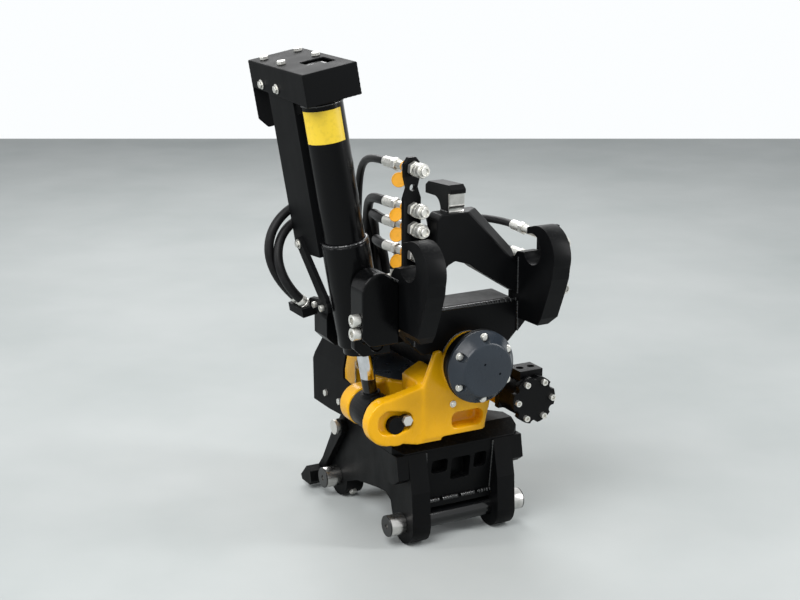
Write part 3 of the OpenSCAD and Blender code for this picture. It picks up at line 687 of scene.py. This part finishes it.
@dataclass
class Turned:
    """A turned piece, grown from a circle by extruding and scaling along its axis."""

    name: str
    body: str
    coat: Coat
    slot: str
    profile: Rows
    at: Vector
    along: Vector
    sides: int = 32

    def shape(self) -> bpy.types.Object:
        """Makes the bare piece in its place.

        Returns:
            The piece, which does not ride yet.
        """
        deselect()
        rows = metres(self.profile)
        first_r, first_z = rows[0]
        bpy.ops.mesh.primitive_circle_add(
            vertices=self.sides, radius=first_r, fill_type="NGON", location=(0.0, 0.0, first_z)
        )
        piece = bpy.context.object
        piece.name = self.name
        piece.data.name = self.name
        bpy.ops.object.transform_apply(location=True, rotation=True, scale=True)
        bpy.ops.object.mode_set(mode="EDIT")
        bpy.ops.mesh.select_mode(type="FACE")
        bpy.ops.mesh.select_all(action="SELECT")
        for (r0, z0), (r1, z1) in zip(rows, rows[1:]):
            bpy.ops.mesh.extrude_region_move(TRANSFORM_OT_translate={"value": (0.0, 0.0, z1 - z0)})
            if r1 != r0:
                bpy.ops.transform.resize(value=(r1 / r0, r1 / r0, 1.0), center_override=(0.0, 0.0, z1))
        bpy.ops.mesh.select_all(action="SELECT")
        bpy.ops.mesh.normals_make_consistent(inside=False)
        bpy.ops.object.mode_set(mode="OBJECT")
        turn = UP.rotation_difference(self.along.normalized()).to_matrix().to_4x4()
        piece.data.transform(Matrix.Translation(self.at) @ turn)
        bpy.ops.object.shade_smooth_by_angle(angle=SMOOTH_ANGLE)
        piece.data.materials.append(self.coat.material())
        return piece

    def build(self) -> None:
        """Makes the piece and lets it ride."""
        piece = self.shape()
        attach(piece, self.body)
        LOG.info("%s: turned piece on %s", self.name, self.body)


@dataclass
class Stack:
    """Round and hexagonal stretches on one axis, joined into one fitting of plated steel."""

    name: str
    body: str
    at: Vector
    along: Vector
    stretches: Sequence[Stretch]
    node: str | None = None
    coat: Coat = Coat.ZINC
    slot: str = "zinc_plate"

    def build(self) -> None:
        """Makes the fitting and lets it ride."""
        shapes = []
        for k, (sides, rows) in enumerate(self.stretches):
            name = f"{self.name}_{k}"
            piece = Turned(name, self.body, self.coat, self.slot, rows, self.at, self.along, sides)
            shapes.append(piece.shape())
        fitting = join(shapes)
        fitting.name = self.name
        fitting.data.name = self.name
        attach(fitting, self.body)
        if self.node:
            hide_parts(self.node)
        LOG.info("%s: fitting of %d stretches on %s", self.name, len(shapes), self.body)


def hexagon(r: float, low: float, high: float) -> Stretch:
    """A chamfered hexagon as a stretch of a stack.

    Args:
        r: Radius over the corners.
        low: Start on the axis.
        high: End on the axis.

    Returns:
        Its number of sides and its profile.
    """
    return 6, [(0.9 * r, low), (r, low + 0.1 * r), (r, high - 0.1 * r), (0.9 * r, high)]


@dataclass
class Screw:
    """A hexagon screw on its washer. The sizes follow the radius over the corners of its head."""

    name: str
    body: str
    at: Vector
    along: Vector
    r: float
    node: str | None = None
    washer_top: float = 1.6
    head_height: float = 0.62

    def build(self) -> None:
        """Makes the screw."""
        r = self.r
        top = self.washer_top + self.head_height * r
        washer = [(1.28 * r, 0.0), (1.3 * r, 0.3), (1.3 * r, 1.4), (1.22 * r, 1.7)]
        dish = [(0.62 * r, self.washer_top + 0.6 * r), (0.58 * r, top - 0.4)]
        stretches = [(32, washer), hexagon(r, self.washer_top, top), (24, dish)]
        Stack(self.name, self.body, self.at, self.along, stretches, self.node).build()


@dataclass
class Coupler:
    """A quick coupler with the crimped end of its hose.

    Stations are counted from its seat. The rear nut is a radius and a length, and each of the other nuts is a
    radius and two stations.
    """

    name: str
    node: str
    at: Vector
    along: Vector
    tail: float
    nose: float
    pipe_r: float = 8.8
    crimp_r: float = 10.5
    crimp_starts: tuple[float, ...] = (1.6, 9.4, 17.2, 25.0)
    crimp_length: float = 6.2
    ferrule_length: float = 34.0
    rear_nut: Span = (13.0, 12.0)
    middle_nut: Point = (14.0, -22.0, -10.0)
    seat_nut: Point = (15.0, 0.0, 12.0)
    neck_r: float = 11.0
    sleeve_r: float = 14.5
    groove_r: float = 13.2
    lip_r: float = 9.9

    def ferrule(self) -> Stretch:
        """The crimped end of the hose.

        Returns:
            A round stretch.
        """
        rows = [(self.pipe_r, -self.tail), (self.crimp_r - 0.3, 0.8 - self.tail)]
        for start in self.crimp_starts:
            end = start + self.crimp_length
            rows += [(self.crimp_r, start - self.tail), (self.crimp_r, end - self.tail)]
            rows.append((self.crimp_r - 0.9, end + 0.6 - self.tail))
        rows.append((self.crimp_r - 1.3, self.ferrule_length - self.tail))
        return 32, rows

    def sleeve(self) -> Stretch:
        """The sliding sleeve with its groove.

        Returns:
            A round stretch.
        """
        big, groove = self.sleeve_r, self.groove_r
        rows = [(13.4, 20.0), (big, 21.0), (big, 24.6), (groove, 25.2), (groove, 27.0), (big, 27.6)]
        return 40, rows + [(big, self.nose - 10.4), (13.0, self.nose - 8.0)]

    def lip(self) -> Stretch:
        """The open end with its bore.

        Returns:
            A round stretch.
        """
        rows = [(self.lip_r, self.nose - 8.4), (self.lip_r, self.nose - 1.6), (9.2, self.nose - 0.6)]
        return 32, rows + [(7.0, self.nose - 0.6), (6.2, self.nose - 4.0)]

    def build(self) -> None:
        """Makes the coupler."""
        nut_r, nut_length = self.rear_nut
        nut_at = self.ferrule_length - self.tail
        stretches = [
            self.ferrule(),
            (32, [(self.pipe_r, nut_at - 1.0), (self.pipe_r, 0.0)]),
            hexagon(nut_r, nut_at, nut_at + nut_length),
            hexagon(*self.middle_nut),
            hexagon(*self.seat_nut),
            (32, [(self.neck_r, 11.6), (self.neck_r, 20.4)]),
            self.sleeve(),
            self.lip(),
        ]
        Stack(self.name, "top_frame", self.at, self.along, stretches, self.node).build()


@dataclass
class Tag:
    """A plain round tag that hangs on a left coupler by its loop."""

    number: int
    hub: Vector
    offset: Point
    face: Point
    body: str = "top_frame"
    slot: str = "tag_plastic"
    disc_rows: Rows = (
        (13.6, 0.0), (14.8, 0.4), (14.8, 1.6), (14.0, 2.2), (12.6, 2.2), (12.2, 1.6), (0.4, 1.6),
    )
    loop_r: float = 10.4
    wire_r: float = 1.3
    strap_r: float = 2.2
    strap_start: float = 9.6
    strap_lap: float = 13.0

    def loop(self) -> bpy.types.Object:
        """Makes the loop round the coupler.

        Returns:
            The loop, which does not ride yet.
        """
        deselect()
        bpy.ops.mesh.primitive_torus_add(
            major_radius=self.loop_r / PER_METRE, minor_radius=self.wire_r / PER_METRE, major_segments=32,
            minor_segments=8, location=self.hub, rotation=UP.rotation_difference(LEFT_ALONG).to_euler(),
        )
        loop = bpy.context.object
        bpy.ops.object.transform_apply(location=True, rotation=True, scale=True)
        bpy.ops.object.shade_smooth()
        loop.data.materials.append(Coat.TAG.material())
        return loop

    def build(self) -> None:
        """Makes the tag with its loop and the strap between them, and lets it ride."""
        arm = Vector(self.offset) / PER_METRE
        centre = self.hub + arm
        look = Vector(self.face).normalized()
        name = f"tag_{self.number}"
        disc = Turned(name, self.body, Coat.TAG, self.slot, self.disc_rows, centre, look, 40).shape()
        loop = self.loop()
        reach = centre - self.hub
        rows = [(self.strap_r, self.strap_start), (self.strap_r, reach.length * PER_METRE - self.strap_lap)]
        strap = Turned("strap", self.body, Coat.TAG, self.slot, rows, self.hub, reach, 8).shape()
        tag = join((disc, loop, strap))
        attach(tag, self.body)
        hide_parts("coupler_tags")
        LOG.info("%s: tag on %s", name, self.body)


@dataclass
class Fittings:
    """The couplers with their tags, and the screws that the solids leave out."""

    left_nose: float = 46.0
    right_nose: float = 58.0
    tag_setback: float = 22.0
    tags: tuple[tuple[Point, Point], ...] = (
        ((-13.0, 0.0, -26.0), (-0.50, -0.84, 0.20)),
        ((-18.0, 2.0, -15.0), (-0.72, -0.45, 0.53)),
        ((-18.0, 0.0, -16.0), (-0.75, -0.56, 0.34)),
        ((-17.0, 2.0, -19.0), (-0.78, -0.45, 0.43)),
    )
    flange_screws: tuple[Point, ...] = ((-54.0, 77.0, 507.0), (-54.0, 148.0, 507.0))
    guard_screw: Point = (-57.0, 98.0, 188.0)
    web_screw: Point = (-38.0, -206.0, 307.0)
    sheet_screw_r: float = 7.5
    cap_screw_r: float = 6.0
    web_screw_r: float = 5.5
    cap_circle: float = 44.0
    cap_face: float = 252.0
    cap_count: int = 4

    def couplers(self) -> None:
        """Makes the couplers of both plates, and the tags of the left one."""
        for k, z in enumerate(LEFT_HEIGHTS):
            axis = Vector((*LEFT_AT, z))
            seat = mm(*(axis + LEFT_SEAT * LEFT_ALONG))
            Coupler(f"left_coupler_{k}", "left_couplers", seat, LEFT_ALONG, LEFT_TAIL, self.left_nose).build()
            Tag(k, mm(*(axis - self.tag_setback * LEFT_ALONG)), *self.tags[k]).build()
        for k, z in enumerate(RIGHT_HEIGHTS):
            seat = mm(*RIGHT_AT, z)
            Coupler(f"right_coupler_{k}", "right_couplers", seat, FRONT, RIGHT_TAIL, self.right_nose).build()

    def screws(self) -> None:
        """Makes the screws on the guard, the rear cap and the casting's web."""
        left = cylinder_way(-1, 0, 0)
        for k, at in enumerate(self.flange_screws):
            Screw(f"flange_screw_{k}", "barrel", on_cylinder(*at), left, self.sheet_screw_r).build()
        Screw("guard_screw", "barrel", on_cylinder(*self.guard_screw), left, self.sheet_screw_r).build()
        for k in range(self.cap_count):
            a = math.radians(45.0 + 360.0 * k / self.cap_count)
            seat = mm(self.cap_circle * math.cos(a), self.cap_face, TILT_Z + self.cap_circle * math.sin(a))
            Screw(f"rear_cap_screw_{k}", "rotor", seat, BACK, self.cap_screw_r).build()
        Screw("web_screw", "rotor", mm(*self.web_screw), FRONT, self.web_screw_r).build()

    def build(self) -> None:
        """Makes all fittings."""
        self.couplers()
        self.screws()


@dataclass
class Cover:
    """The turned cover on the front of the tilt axle, with its screws in pockets and a black collar behind it
    that lays painted shade over the casting's boss.
    """

    body: str = "rotor"
    slot: str = "graphite_paint"
    seat_y: float = -246.0
    screw_y: float = -258.0
    screw_circle: float = 63.0
    screw_count: int = 6
    screw_r: float = 6.6
    pocket_r: float = 9.0
    pocket_depth: float = 30.0
    dimple_r: float = 2.6
    dimple_start: float = 28.0
    dimple_depth: float = 12.0
    dimples: tuple[Span, ...] = ((-7.0, 12.6), (27.5, -11.0))
    profile: Rows = (
        (73.5, 0.0), (74.3, 0.8), (74.3, 5.5), (73.4, 7.0), (71.6, 8.2),
        (56.8, 27.6), (55.2, 30.2), (53.2, 31.6), (50.8, 32.0), (0.5, 32.0),
    )
    # Station and profile of the black collar: painted shade, a dark ring over the casting's boss where it
    # lies in shade
    shade_collar_y: float = -238.0
    collar: Rows = ((66.5, 0.0), (67.5, 1.0), (67.5, 15.0), (66.0, 16.5), (63.8, 17.2), (63.8, 27.0))
    sides: int = 96
    smooth_angle: float = math.radians(28)

    def cutter(self, r: float, x: float, z: float, start: float, depth: float) -> bpy.types.Object:
        """Makes the bar that cuts one pocket.

        Args:
            r: Its radius.
            x: Its place across, from the axle.
            z: Its place in height, from the axle.
            start: Station of its rear end.
            depth: Its length towards the front.

        Returns:
            The bar.
        """
        at = mm(x, start, TILT_Z + z)
        return Turned("cutter", self.body, Coat.COVER, self.slot, [(r, 0.0), (r, depth)], at, FRONT).shape()

    def build(self) -> None:
        """Makes the cover, the black collar of painted shade behind it, and its screws."""
        seat = mm(0, self.seat_y, TILT_Z)
        cover = Turned(
            "turned_cover", self.body, Coat.COVER, self.slot, self.profile, seat, FRONT, self.sides
        ).shape()
        turns = [math.radians(30.0 + 360.0 * k / self.screw_count) for k in range(self.screw_count)]
        places = [(self.screw_circle * math.cos(a), self.screw_circle * math.sin(a)) for a in turns]
        cutters = [self.cutter(self.pocket_r, x, z, self.screw_y, self.pocket_depth) for x, z in places]
        dimple_y = self.seat_y - self.dimple_start
        cutters += [self.cutter(self.dimple_r, x, z, dimple_y, self.dimple_depth) for x, z in self.dimples]
        for cutter in cutters:
            activate(cover)
            apply_modifier(cover, "BOOLEAN", operation="DIFFERENCE", object=cutter)
            bpy.data.objects.remove(cutter)
        bpy.ops.object.shade_smooth_by_angle(angle=self.smooth_angle)
        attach(cover, self.body)
        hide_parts("tilt_cover")
        LOG.info("turned_cover: %d faces", len(cover.data.polygons))
        # The black collar is painted shade: it darkens the casting's boss, which lies in shade
        shade_collar_at = mm(0, self.shade_collar_y, TILT_Z)
        Turned(
            "painted_shade_collar", self.body, Coat.MOTOR, "black_paint", self.collar, shade_collar_at, BACK, self.sides
        ).build()
        for k, (x, z) in enumerate(places):
            at = mm(x, self.screw_y, TILT_Z + z)
            Screw(f"cover_screw_{k}", self.body, at, FRONT, self.screw_r, "cover_screws").build()


@dataclass
class Casting:
    """A solid with the look of the foundry: its corners rounded and its inner corners filled.

    The voxel sets the grain of the new skin, rounds says how often it is smoothed, and keep is the share of
    its faces that stays.
    """

    node: str
    body: str
    coat: Coat
    slot: str
    voxel: float
    rounds: int
    keep: float
    shrink: float = 0.4

    def build(self, nodes: dict[str, bpy.types.Object]) -> None:
        """Makes the casting from a copy of the solid.

        Args:
            nodes: The carried-over solids by name.
        """
        solid = nodes[self.node]
        mesh = solid.data.copy()
        mesh.transform(solid.matrix_world)
        piece = bpy.data.objects.new(f"{self.node}_casting", mesh)
        mesh.name = piece.name
        bpy.context.collection.objects.link(piece)
        activate(piece)
        apply_modifier(piece, "WELD", merge_threshold=MERGE_DISTANCE)
        apply_modifier(piece, "REMESH", mode="VOXEL", voxel_size=self.voxel / PER_METRE)
        apply_modifier(piece, "SMOOTH", factor=0.5, iterations=self.rounds)
        inset = -self.shrink / PER_METRE
        apply_modifier(piece, "DISPLACE", direction="NORMAL", mid_level=0.0, strength=inset)
        apply_modifier(piece, "DECIMATE", ratio=self.keep)
        bpy.ops.object.shade_smooth()
        piece.data.materials.clear()
        piece.data.materials.append(self.coat.material())
        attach(piece, self.body)
        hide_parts(self.node)
        LOG.info("%s: %d faces", piece.name, len(piece.data.polygons))


CASTINGS = (
    Casting("rotor_housing", "rotor", Coat.CASTING, "yellow_paint", 2.8, 7, 0.45),
    Casting("front_trunnion_block", "top_frame", Coat.BARREL, "black_paint", 2.6, 5, 0.4),
    Casting("hood", "barrel", Coat.SHEET_METAL, "black_paint", 1.6, 6, 0.3),
    Casting("cylinder_collar", "barrel", Coat.BARREL, "black_paint", 2.4, 4, 0.4),
    Casting("hydraulic_motor", "rotor", Coat.MOTOR, "black_paint", 2.0, 3, 0.4),
)


@dataclass
class Plate:
    """The blank yellow plate that is bent round the cylinder."""

    radius: float = 41.3
    heights: Span = (406.0, 470.0)
    angles: Span = (-180.0, -61.0)
    thickness: float = 0.5
    steps: tuple[int, int] = (36, 6)

    def build(self) -> None:
        """Makes the plate from a grid, bent onto the barrel and thickened."""
        deselect()
        bpy.ops.mesh.primitive_grid_add(x_subdivisions=self.steps[0], y_subdivisions=self.steps[1], size=1.0)
        plate = bpy.context.object
        plate.name = "blank_plate"
        plate.data.name = "blank_plate"
        for vertex in plate.data.vertices:
            across, up = vertex.co.x + 0.5, vertex.co.y + 0.5
            a = math.radians(self.angles[0] + (self.angles[1] - self.angles[0]) * across)
            z = self.heights[0] + (self.heights[1] - self.heights[0]) * up
            vertex.co = on_cylinder(self.radius * math.cos(a), self.radius * math.sin(a), z)
        apply_modifier(plate, "SOLIDIFY", thickness=self.thickness / PER_METRE, offset=0.0)
        bpy.ops.object.shade_smooth_by_angle(angle=SMOOTH_ANGLE)
        plate.data.materials.append(Coat.LABEL.material())
        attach(plate, "barrel")
        LOG.info("blank_plate: on barrel")


@dataclass
class WeldBead:
    """A weld bead with its ripples, laid along a joint."""

    name: str
    body: str
    points: Sequence[Vector]
    size: float
    closed: bool = False
    pitch: float = 1.5
    ripple: tuple[float, ...] = (1.0, 0.93, 0.80, 0.93)

    def steps(self) -> list[Vector]:
        """Points of the bead, about a pitch apart.

        Returns:
            The points, in order.
        """
        corners = list(self.points) + ([self.points[0]] if self.closed else [])
        way: list[Vector] = []
        for a, b in zip(corners, corners[1:]):
            count = max(2, int((b - a).length / (self.pitch / PER_METRE)))
            way.extend(a.lerp(b, k / count) for k in range(count))
        if not self.closed:
            way.append(corners[-1])
        return way

    def build(self) -> None:
        """Makes the bead and lets it ride."""
        way = self.steps()
        curve = bpy.data.curves.new(self.name, "CURVE")
        curve.dimensions = "3D"
        curve.bevel_depth = self.size / PER_METRE
        curve.bevel_resolution = 2
        curve.use_fill_caps = not self.closed
        spline = curve.splines.new("POLY")
        spline.points.add(len(way) - 1)
        for k, (point, at) in enumerate(zip(spline.points, way)):
            point.co = (*at, 1.0)
            point.radius = self.ripple[k % len(self.ripple)] * (1.0 + 0.07 * math.sin(0.9 * k))
        spline.use_cyclic_u = self.closed
        bead = bpy.data.objects.new(self.name, curve)
        bpy.context.collection.objects.link(bead)
        activate(bead)
        bpy.ops.object.convert(target="MESH")
        bead = bpy.context.object
        bpy.ops.object.shade_smooth()
        bead.data.materials.append(Coat.SEAM.material())
        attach(bead, self.body)
        LOG.info("%s: weld bead on %s", self.name, self.body)


def ring(centre: Vector, u: Vector, v: Vector, radius: float, span: Span = (0.0, 360.0)) -> list[Vector]:
    """Points on a circle or an arc.

    Args:
        centre: Centre of the circle.
        u: First direction in its plane.
        v: Second direction in its plane.
        radius: Radius.
        span: First and last angle in degrees.

    Returns:
        The points; a full circle leaves out the last one, which is the first again.
    """
    count = 48
    start, end = span
    steps = count if end - start >= 360.0 else count + 1
    angles = [math.radians(start + (end - start) * k / count) for k in range(steps)]
    return [centre + radius / PER_METRE * (math.cos(a) * u + math.sin(a) * v) for a in angles]


@dataclass
class Sleeve:
    """The crimped sleeve at the end of a hose."""

    name: str
    body: str
    at: Vector
    along: Vector
    r: float
    length: float = 18.0

    def build(self) -> None:
        """Makes the sleeve."""
        r, groove = self.r, 0.88 * self.r
        rows = [
            (0.9 * r, 0.0), (r, 1.0), (r, 5.0), (groove, 6.0), (groove, 8.0), (r, 9.0),
            (r, self.length - 1.5), (0.94 * r, self.length),
        ]
        Turned(self.name, self.body, Coat.ZINC, "zinc_plate", rows, self.at, self.along).build()


@dataclass
class Hoses:
    """The hoses from the couplers to the rear beam, and the two loops on the left of the cylinder.

    A reach says how far the pull of a hose's first and last end goes. A row holds the first x, the step in x
    and the y of the hoses' ends on the beam.
    """

    left_reach: tuple[Span, ...] = ((105.0, 270.0), (75.0, 195.0), (75.0, 180.0), (75.0, 105.0))
    left_radii: tuple[float, ...] = (8.0, 10.0, 10.0, 10.0)
    left_row: Point = (-74.0, 22.0, 138.0)
    left_end: float = 487.0
    left_gap: float = 0.4
    left_sleeve_r: float = 10.8
    right_reach: tuple[Span, ...] = ((90.0, 150.0), (75.0, 135.0), (90.0, 120.0))
    right_radius: float = 7.8
    right_row: Point = (70.0, -24.0, 164.0)
    right_end: float = 486.0
    right_gap: float = 0.5
    right_sleeve_r: float = 10.5
    beam_top: float = 478.0
    loop_reach: tuple[Span, ...] = ((75.0, 105.0), (60.0, 150.0))
    loop_radius: float = 9.5
    loop_sleeve_r: float = 11.5
    loop_pitch: float = 30.0
    loop_rise: Point = (-0.60, 0.05, 0.80)
    guard_back: float = 136.0
    port_reach: float = 12.3
    port_x: float = -4.0
    elbow_x: float = 4.0
    loop_start_x: float = -12.0
    sleeve_lap: float = 8.0
    port_rows: Rows = ((9.0, 0.0), (9.0, 8.0), (11.5, 9.0), (11.5, 15.5), (10.5, 16.5))
    bracket_at: Point = (-70.0, 96.0, 68.0)
    first_port: float = 222.0
    elbow_length: float = 24.0

    def left(self, k: int) -> None:
        """Makes the hose on the left coupler k and its sleeve on the beam.

        Args:
            k: Number of the coupler, from the top.
        """
        way = -LEFT_ALONG
        back = LEFT_TAIL - LEFT_SEAT + self.left_gap
        first_x, step, y = self.left_row
        x = first_x + step * k
        ends = (mm(*LEFT_AT, LEFT_HEIGHTS[k]) + back / PER_METRE * way, mm(x, y, self.left_end))
        reach, radius = self.left_reach[k], self.left_radii[k]
        HoseRun(f"left_hose_{k}", "top_frame", "coupler_hoses", ends, (way, UP), reach, radius).build()
        Sleeve(f"left_sleeve_{k}", "top_frame", mm(x, y, self.beam_top), UP, self.left_sleeve_r).build()

    def right(self, k: int) -> None:
        """Makes the hose on the right coupler k and its sleeve on the beam.

        Args:
            k: Number of the coupler, from the top.
        """
        first_x, step, y = self.right_row
        x = first_x + step * k
        back = RIGHT_AT[1] + RIGHT_TAIL + self.right_gap
        ends = (mm(RIGHT_AT[0], back, RIGHT_HEIGHTS[k]), mm(x, y, self.right_end))
        reach = self.right_reach[k]
        HoseRun(
            f"right_hose_{k}", "top_frame", "coupler_hoses", ends, (BACK, UP), reach, self.right_radius
        ).build()
        Sleeve(f"right_sleeve_{k}", "top_frame", mm(x, y, self.beam_top), UP, self.right_sleeve_r).build()

    def loop(self, k: int) -> None:
        """Makes loop k on the left of the cylinder, with its port, its elbow and its sleeve.

        Args:
            k: Number of the loop, from the lower one.
        """
        shift = self.loop_pitch * k
        port_y, port_z = self.guard_back + self.port_reach, self.first_port + shift
        x, y, z = self.bracket_at
        left, rise = cylinder_way(-1, 0, 0), cylinder_way(*self.loop_rise)
        ends = (on_cylinder(self.loop_start_x, port_y, port_z), on_cylinder(x, y + shift, z))
        HoseRun(
            f"loop_hose_{k}", "barrel", "loop_hoses", ends, (left, rise), self.loop_reach[k], self.loop_radius
        ).build()
        foot = ends[1] - self.sleeve_lap / PER_METRE * rise.normalized()
        Sleeve(f"loop_sleeve_{k}", "barrel", foot, rise, self.loop_sleeve_r).build()
        elbow = on_cylinder(self.elbow_x, port_y, port_z)
        Sleeve(f"loop_elbow_{k}", "barrel", elbow, left, self.loop_sleeve_r, self.elbow_length).build()
        port = on_cylinder(self.port_x, self.guard_back, port_z)
        Turned(f"loop_port_{k}", "barrel", Coat.ZINC, "zinc_plate", self.port_rows, port, BACK, 6).build()

    def build(self) -> None:
        """Makes all hoses and the sleeves at their ends."""
        for k in range(len(self.left_reach)):
            self.left(k)
        for k in range(len(self.right_reach)):
            self.right(k)
        for k in range(len(self.loop_reach)):
            self.loop(k)


@dataclass
class Seams:
    """Weld beads on the hitch, the top frame and the cylinder, by their radii and places."""

    fine: float = 3.0
    lip: float = 5.8
    plate: float = 4.5
    round_joint: float = 3.5
    cap: float = 2.6
    lip_spans: tuple[Span, ...] = ((-78.0, -44.0), (-36.0, 0.0), (8.0, 40.0), (48.0, 78.0))
    cheek_x: float = 79.0
    hook_x: float = 119.0
    face_y: float = -193.0
    hub_r: float = 58.5
    collar_r: float = 43.5
    cap_r: float = 40.8

    def line(self, name: str, body: str, size: float, *points: Point) -> None:
        """Lays an open bead through points that are given off the slew axis."""
        WeldBead(name, body, [mm(*point) for point in points], size).build()

    def hitch(self) -> None:
        """Lays the beads of the hitch."""
        for k, (a, b) in enumerate(self.lip_spans):
            self.line(f"seam_lip_{k}", "lower_hitch", self.lip, (a, -161, 86), (b, -161, 86))
        for s in (-1, 1):
            x = self.cheek_x * s
            wall = ((x, -160, 92), (x, -171, 178), (x, -171, 198))
            self.line(f"seam_wall_{s}", "lower_hitch", self.fine, *wall)

    def top_frame(self) -> None:
        """Lays the beads of the top frame."""
        y = self.face_y
        for s in (-1, 1):
            x, hook_x = self.hook_x * s, -19 + 18 * s
            self.line(f"seam_hook_{s}", "top_frame", self.fine, (x, y, 436), (x, y, 498))
            self.line(f"seam_cross_{s}", "top_frame", self.fine, (x, y, 514), (x, y, 590))
            self.line(f"seam_centre_{s}", "top_frame", self.fine, (hook_x, -178, 694), (hook_x, -152, 694))
        self.line("seam_front_plate", "top_frame", self.plate, (-118, -189, 501), (118, -189, 501))
        self.line("seam_dome", "top_frame", self.round_joint, (-160, -206, 576), (-160, -154, 576))
        arc = ring(mm(0, -192.5, TILT_Z), Vector((1, 0, 0)), UP, self.hub_r, (24.0, 156.0))
        WeldBead("seam_hub", "top_frame", arc, self.fine).build()

    def cylinder(self) -> None:
        """Lays the beads round the cylinder."""
        side = cylinder_way(1, 0, 0).normalized()
        collar = ring(on_cylinder(0, 0, 201), side, BACK, self.collar_r)
        WeldBead("seam_collar", "barrel", collar, self.round_joint, True).build()
        cap = ring(on_cylinder(0, 0, 480), side, BACK, self.cap_r)
        WeldBead("seam_cap", "barrel", cap, self.cap, True).build()

    def build(self) -> None:
        """Lays all beads."""
        self.hitch()
        self.top_frame()
        self.cylinder()


class Lamp(NamedTuple):
    """A soft lamp: its place, the point that it looks at, the size of its face and its power in watts."""

    name: str
    at: Point
    target: Point
    size: Span
    power: float


LAMPS = (
    Lamp("key", (-2.2, -1.6, 3.4), (0.0, 0.0, 0.45), (2.2, 2.2), 140.0),
    Lamp("strip", (2.6, -2.0, 1.8), (0.0, 0.0, 0.5), (0.55, 2.4), 60.0),
    Lamp("side", (-2.9, 0.9, 1.7), (0.0, 0.0, 0.5), (0.45, 2.2), 30.0),
    Lamp("back", (1.0, 2.8, 2.8), (0.0, 0.0, 0.5), (2.0, 2.0), 70.0),
)


@dataclass
class Stage:
    """Pale floor, soft studio light and the camera."""

    camera_at: Point = (-1.514, -2.812, 1.384)
    azimuth: float = math.radians(-28.37)
    pitch: float = math.radians(15.72)
    lens: float = 72.585
    sensor: float = 36.0
    floor_size: float = 9.3
    floor_colours: tuple[Colour, Colour] = ((0.40, 0.425, 0.42), (0.47, 0.49, 0.485))
    floor_rough: Span = (0.55, 0.7)
    floor_level: float = 0.2
    room_colour: Colour = (0.93, 0.97, 1.0)
    room_strength: float = 0.42
    backdrop_colour: Colour = (0.97, 0.99, 1.0)
    backdrop_strength: float = 1.0

    def camera(self) -> None:
        """Sets the camera to the photograph's viewing angle."""
        data = bpy.data.cameras.new("camera")
        data.sensor_width = self.sensor
        data.lens = self.lens
        camera = bpy.data.objects.new("camera", data)
        bpy.context.collection.objects.link(camera)
        camera.location = self.camera_at
        camera.rotation_euler = (math.pi / 2 - self.pitch, 0.0, self.azimuth)
        bpy.context.scene.camera = camera

    def floor(self) -> None:
        """Lays the floor."""
        deselect()
        bpy.ops.mesh.primitive_plane_add(
            size=self.floor_size, location=(0.0, 0.0, 0.0), rotation=(0.0, 0.0, self.azimuth)
        )
        floor = bpy.context.object
        floor.name = "floor"
        sheet = Sheet("pale_floor")
        cloud = sheet.remap(sheet.noise(FLOOR_CLOUDS), (0.3, 0.7))
        sheet.link(sheet.blend(cloud, *self.floor_colours), "Base Color")
        sheet.link(sheet.remap(sheet.noise(FLOOR_WEAR), (0.3, 0.7), self.floor_rough), "Roughness")
        sheet.set(Specular_IOR_Level=self.floor_level)
        floor.data.materials.append(sheet.material)

    def world(self) -> None:
        """Lights the scene from all round, with a white background."""
        world = bpy.data.worlds.new("room")
        bpy.context.scene.world = world
        world.use_nodes = True
        tree = world.node_tree
        tree.nodes.clear()
        out = tree.nodes.new("ShaderNodeOutputWorld")
        room = tree.nodes.new("ShaderNodeBackground")
        room.inputs["Color"].default_value = (*self.room_colour, 1.0)
        room.inputs["Strength"].default_value = self.room_strength
        white = tree.nodes.new("ShaderNodeBackground")
        white.inputs["Color"].default_value = (*self.backdrop_colour, 1.0)
        white.inputs["Strength"].default_value = self.backdrop_strength
        path = tree.nodes.new("ShaderNodeLightPath")
        mix = tree.nodes.new("ShaderNodeMixShader")
        seen = path.outputs["Is Camera Ray"]
        for ray in ("Is Glossy Ray", "Is Transmission Ray"):
            either = tree.nodes.new("ShaderNodeMath")
            either.operation = "MAXIMUM"
            tree.links.new(seen, either.inputs[0])
            tree.links.new(path.outputs[ray], either.inputs[1])
            seen = either.outputs[0]
        tree.links.new(seen, mix.inputs[0])
        tree.links.new(room.outputs[0], mix.inputs[1])
        tree.links.new(white.outputs[0], mix.inputs[2])
        tree.links.new(mix.outputs[0], out.inputs[0])

    def light(self, lamp: Lamp) -> None:
        """Hangs a lamp.

        Args:
            lamp: The lamp to hang.
        """
        data = bpy.data.lights.new(lamp.name, "AREA")
        data.shape = "RECTANGLE"
        data.size, data.size_y = lamp.size
        data.energy = lamp.power
        light = bpy.data.objects.new(lamp.name, data)
        bpy.context.collection.objects.link(light)
        light.location = lamp.at
        light.rotation_euler = (Vector(lamp.target) - Vector(lamp.at)).to_track_quat("-Z", "Y").to_euler()

    def build(self) -> None:
        """Makes the camera, the floor and the light."""
        self.camera()
        self.floor()
        self.world()
        for lamp in LAMPS:
            self.light(lamp)


def main() -> None:
    """Builds the scene in order."""
    logging.basicConfig(level=logging.INFO, format="%(message)s")
    bpy.context.scene.view_settings.view_transform = "Standard"
    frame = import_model()
    Stage().build()
    Hoses().build()
    Fittings().build()
    for casting in CASTINGS:
        casting.build(frame["nodes"])
    Cover().build()
    Plate().build()
    dressing = FrameDressing(frame["nodes"])
    dressing.paint()
    dressing.break_edges()
    Seams().build()


if __name__ == "__main__":
    main()
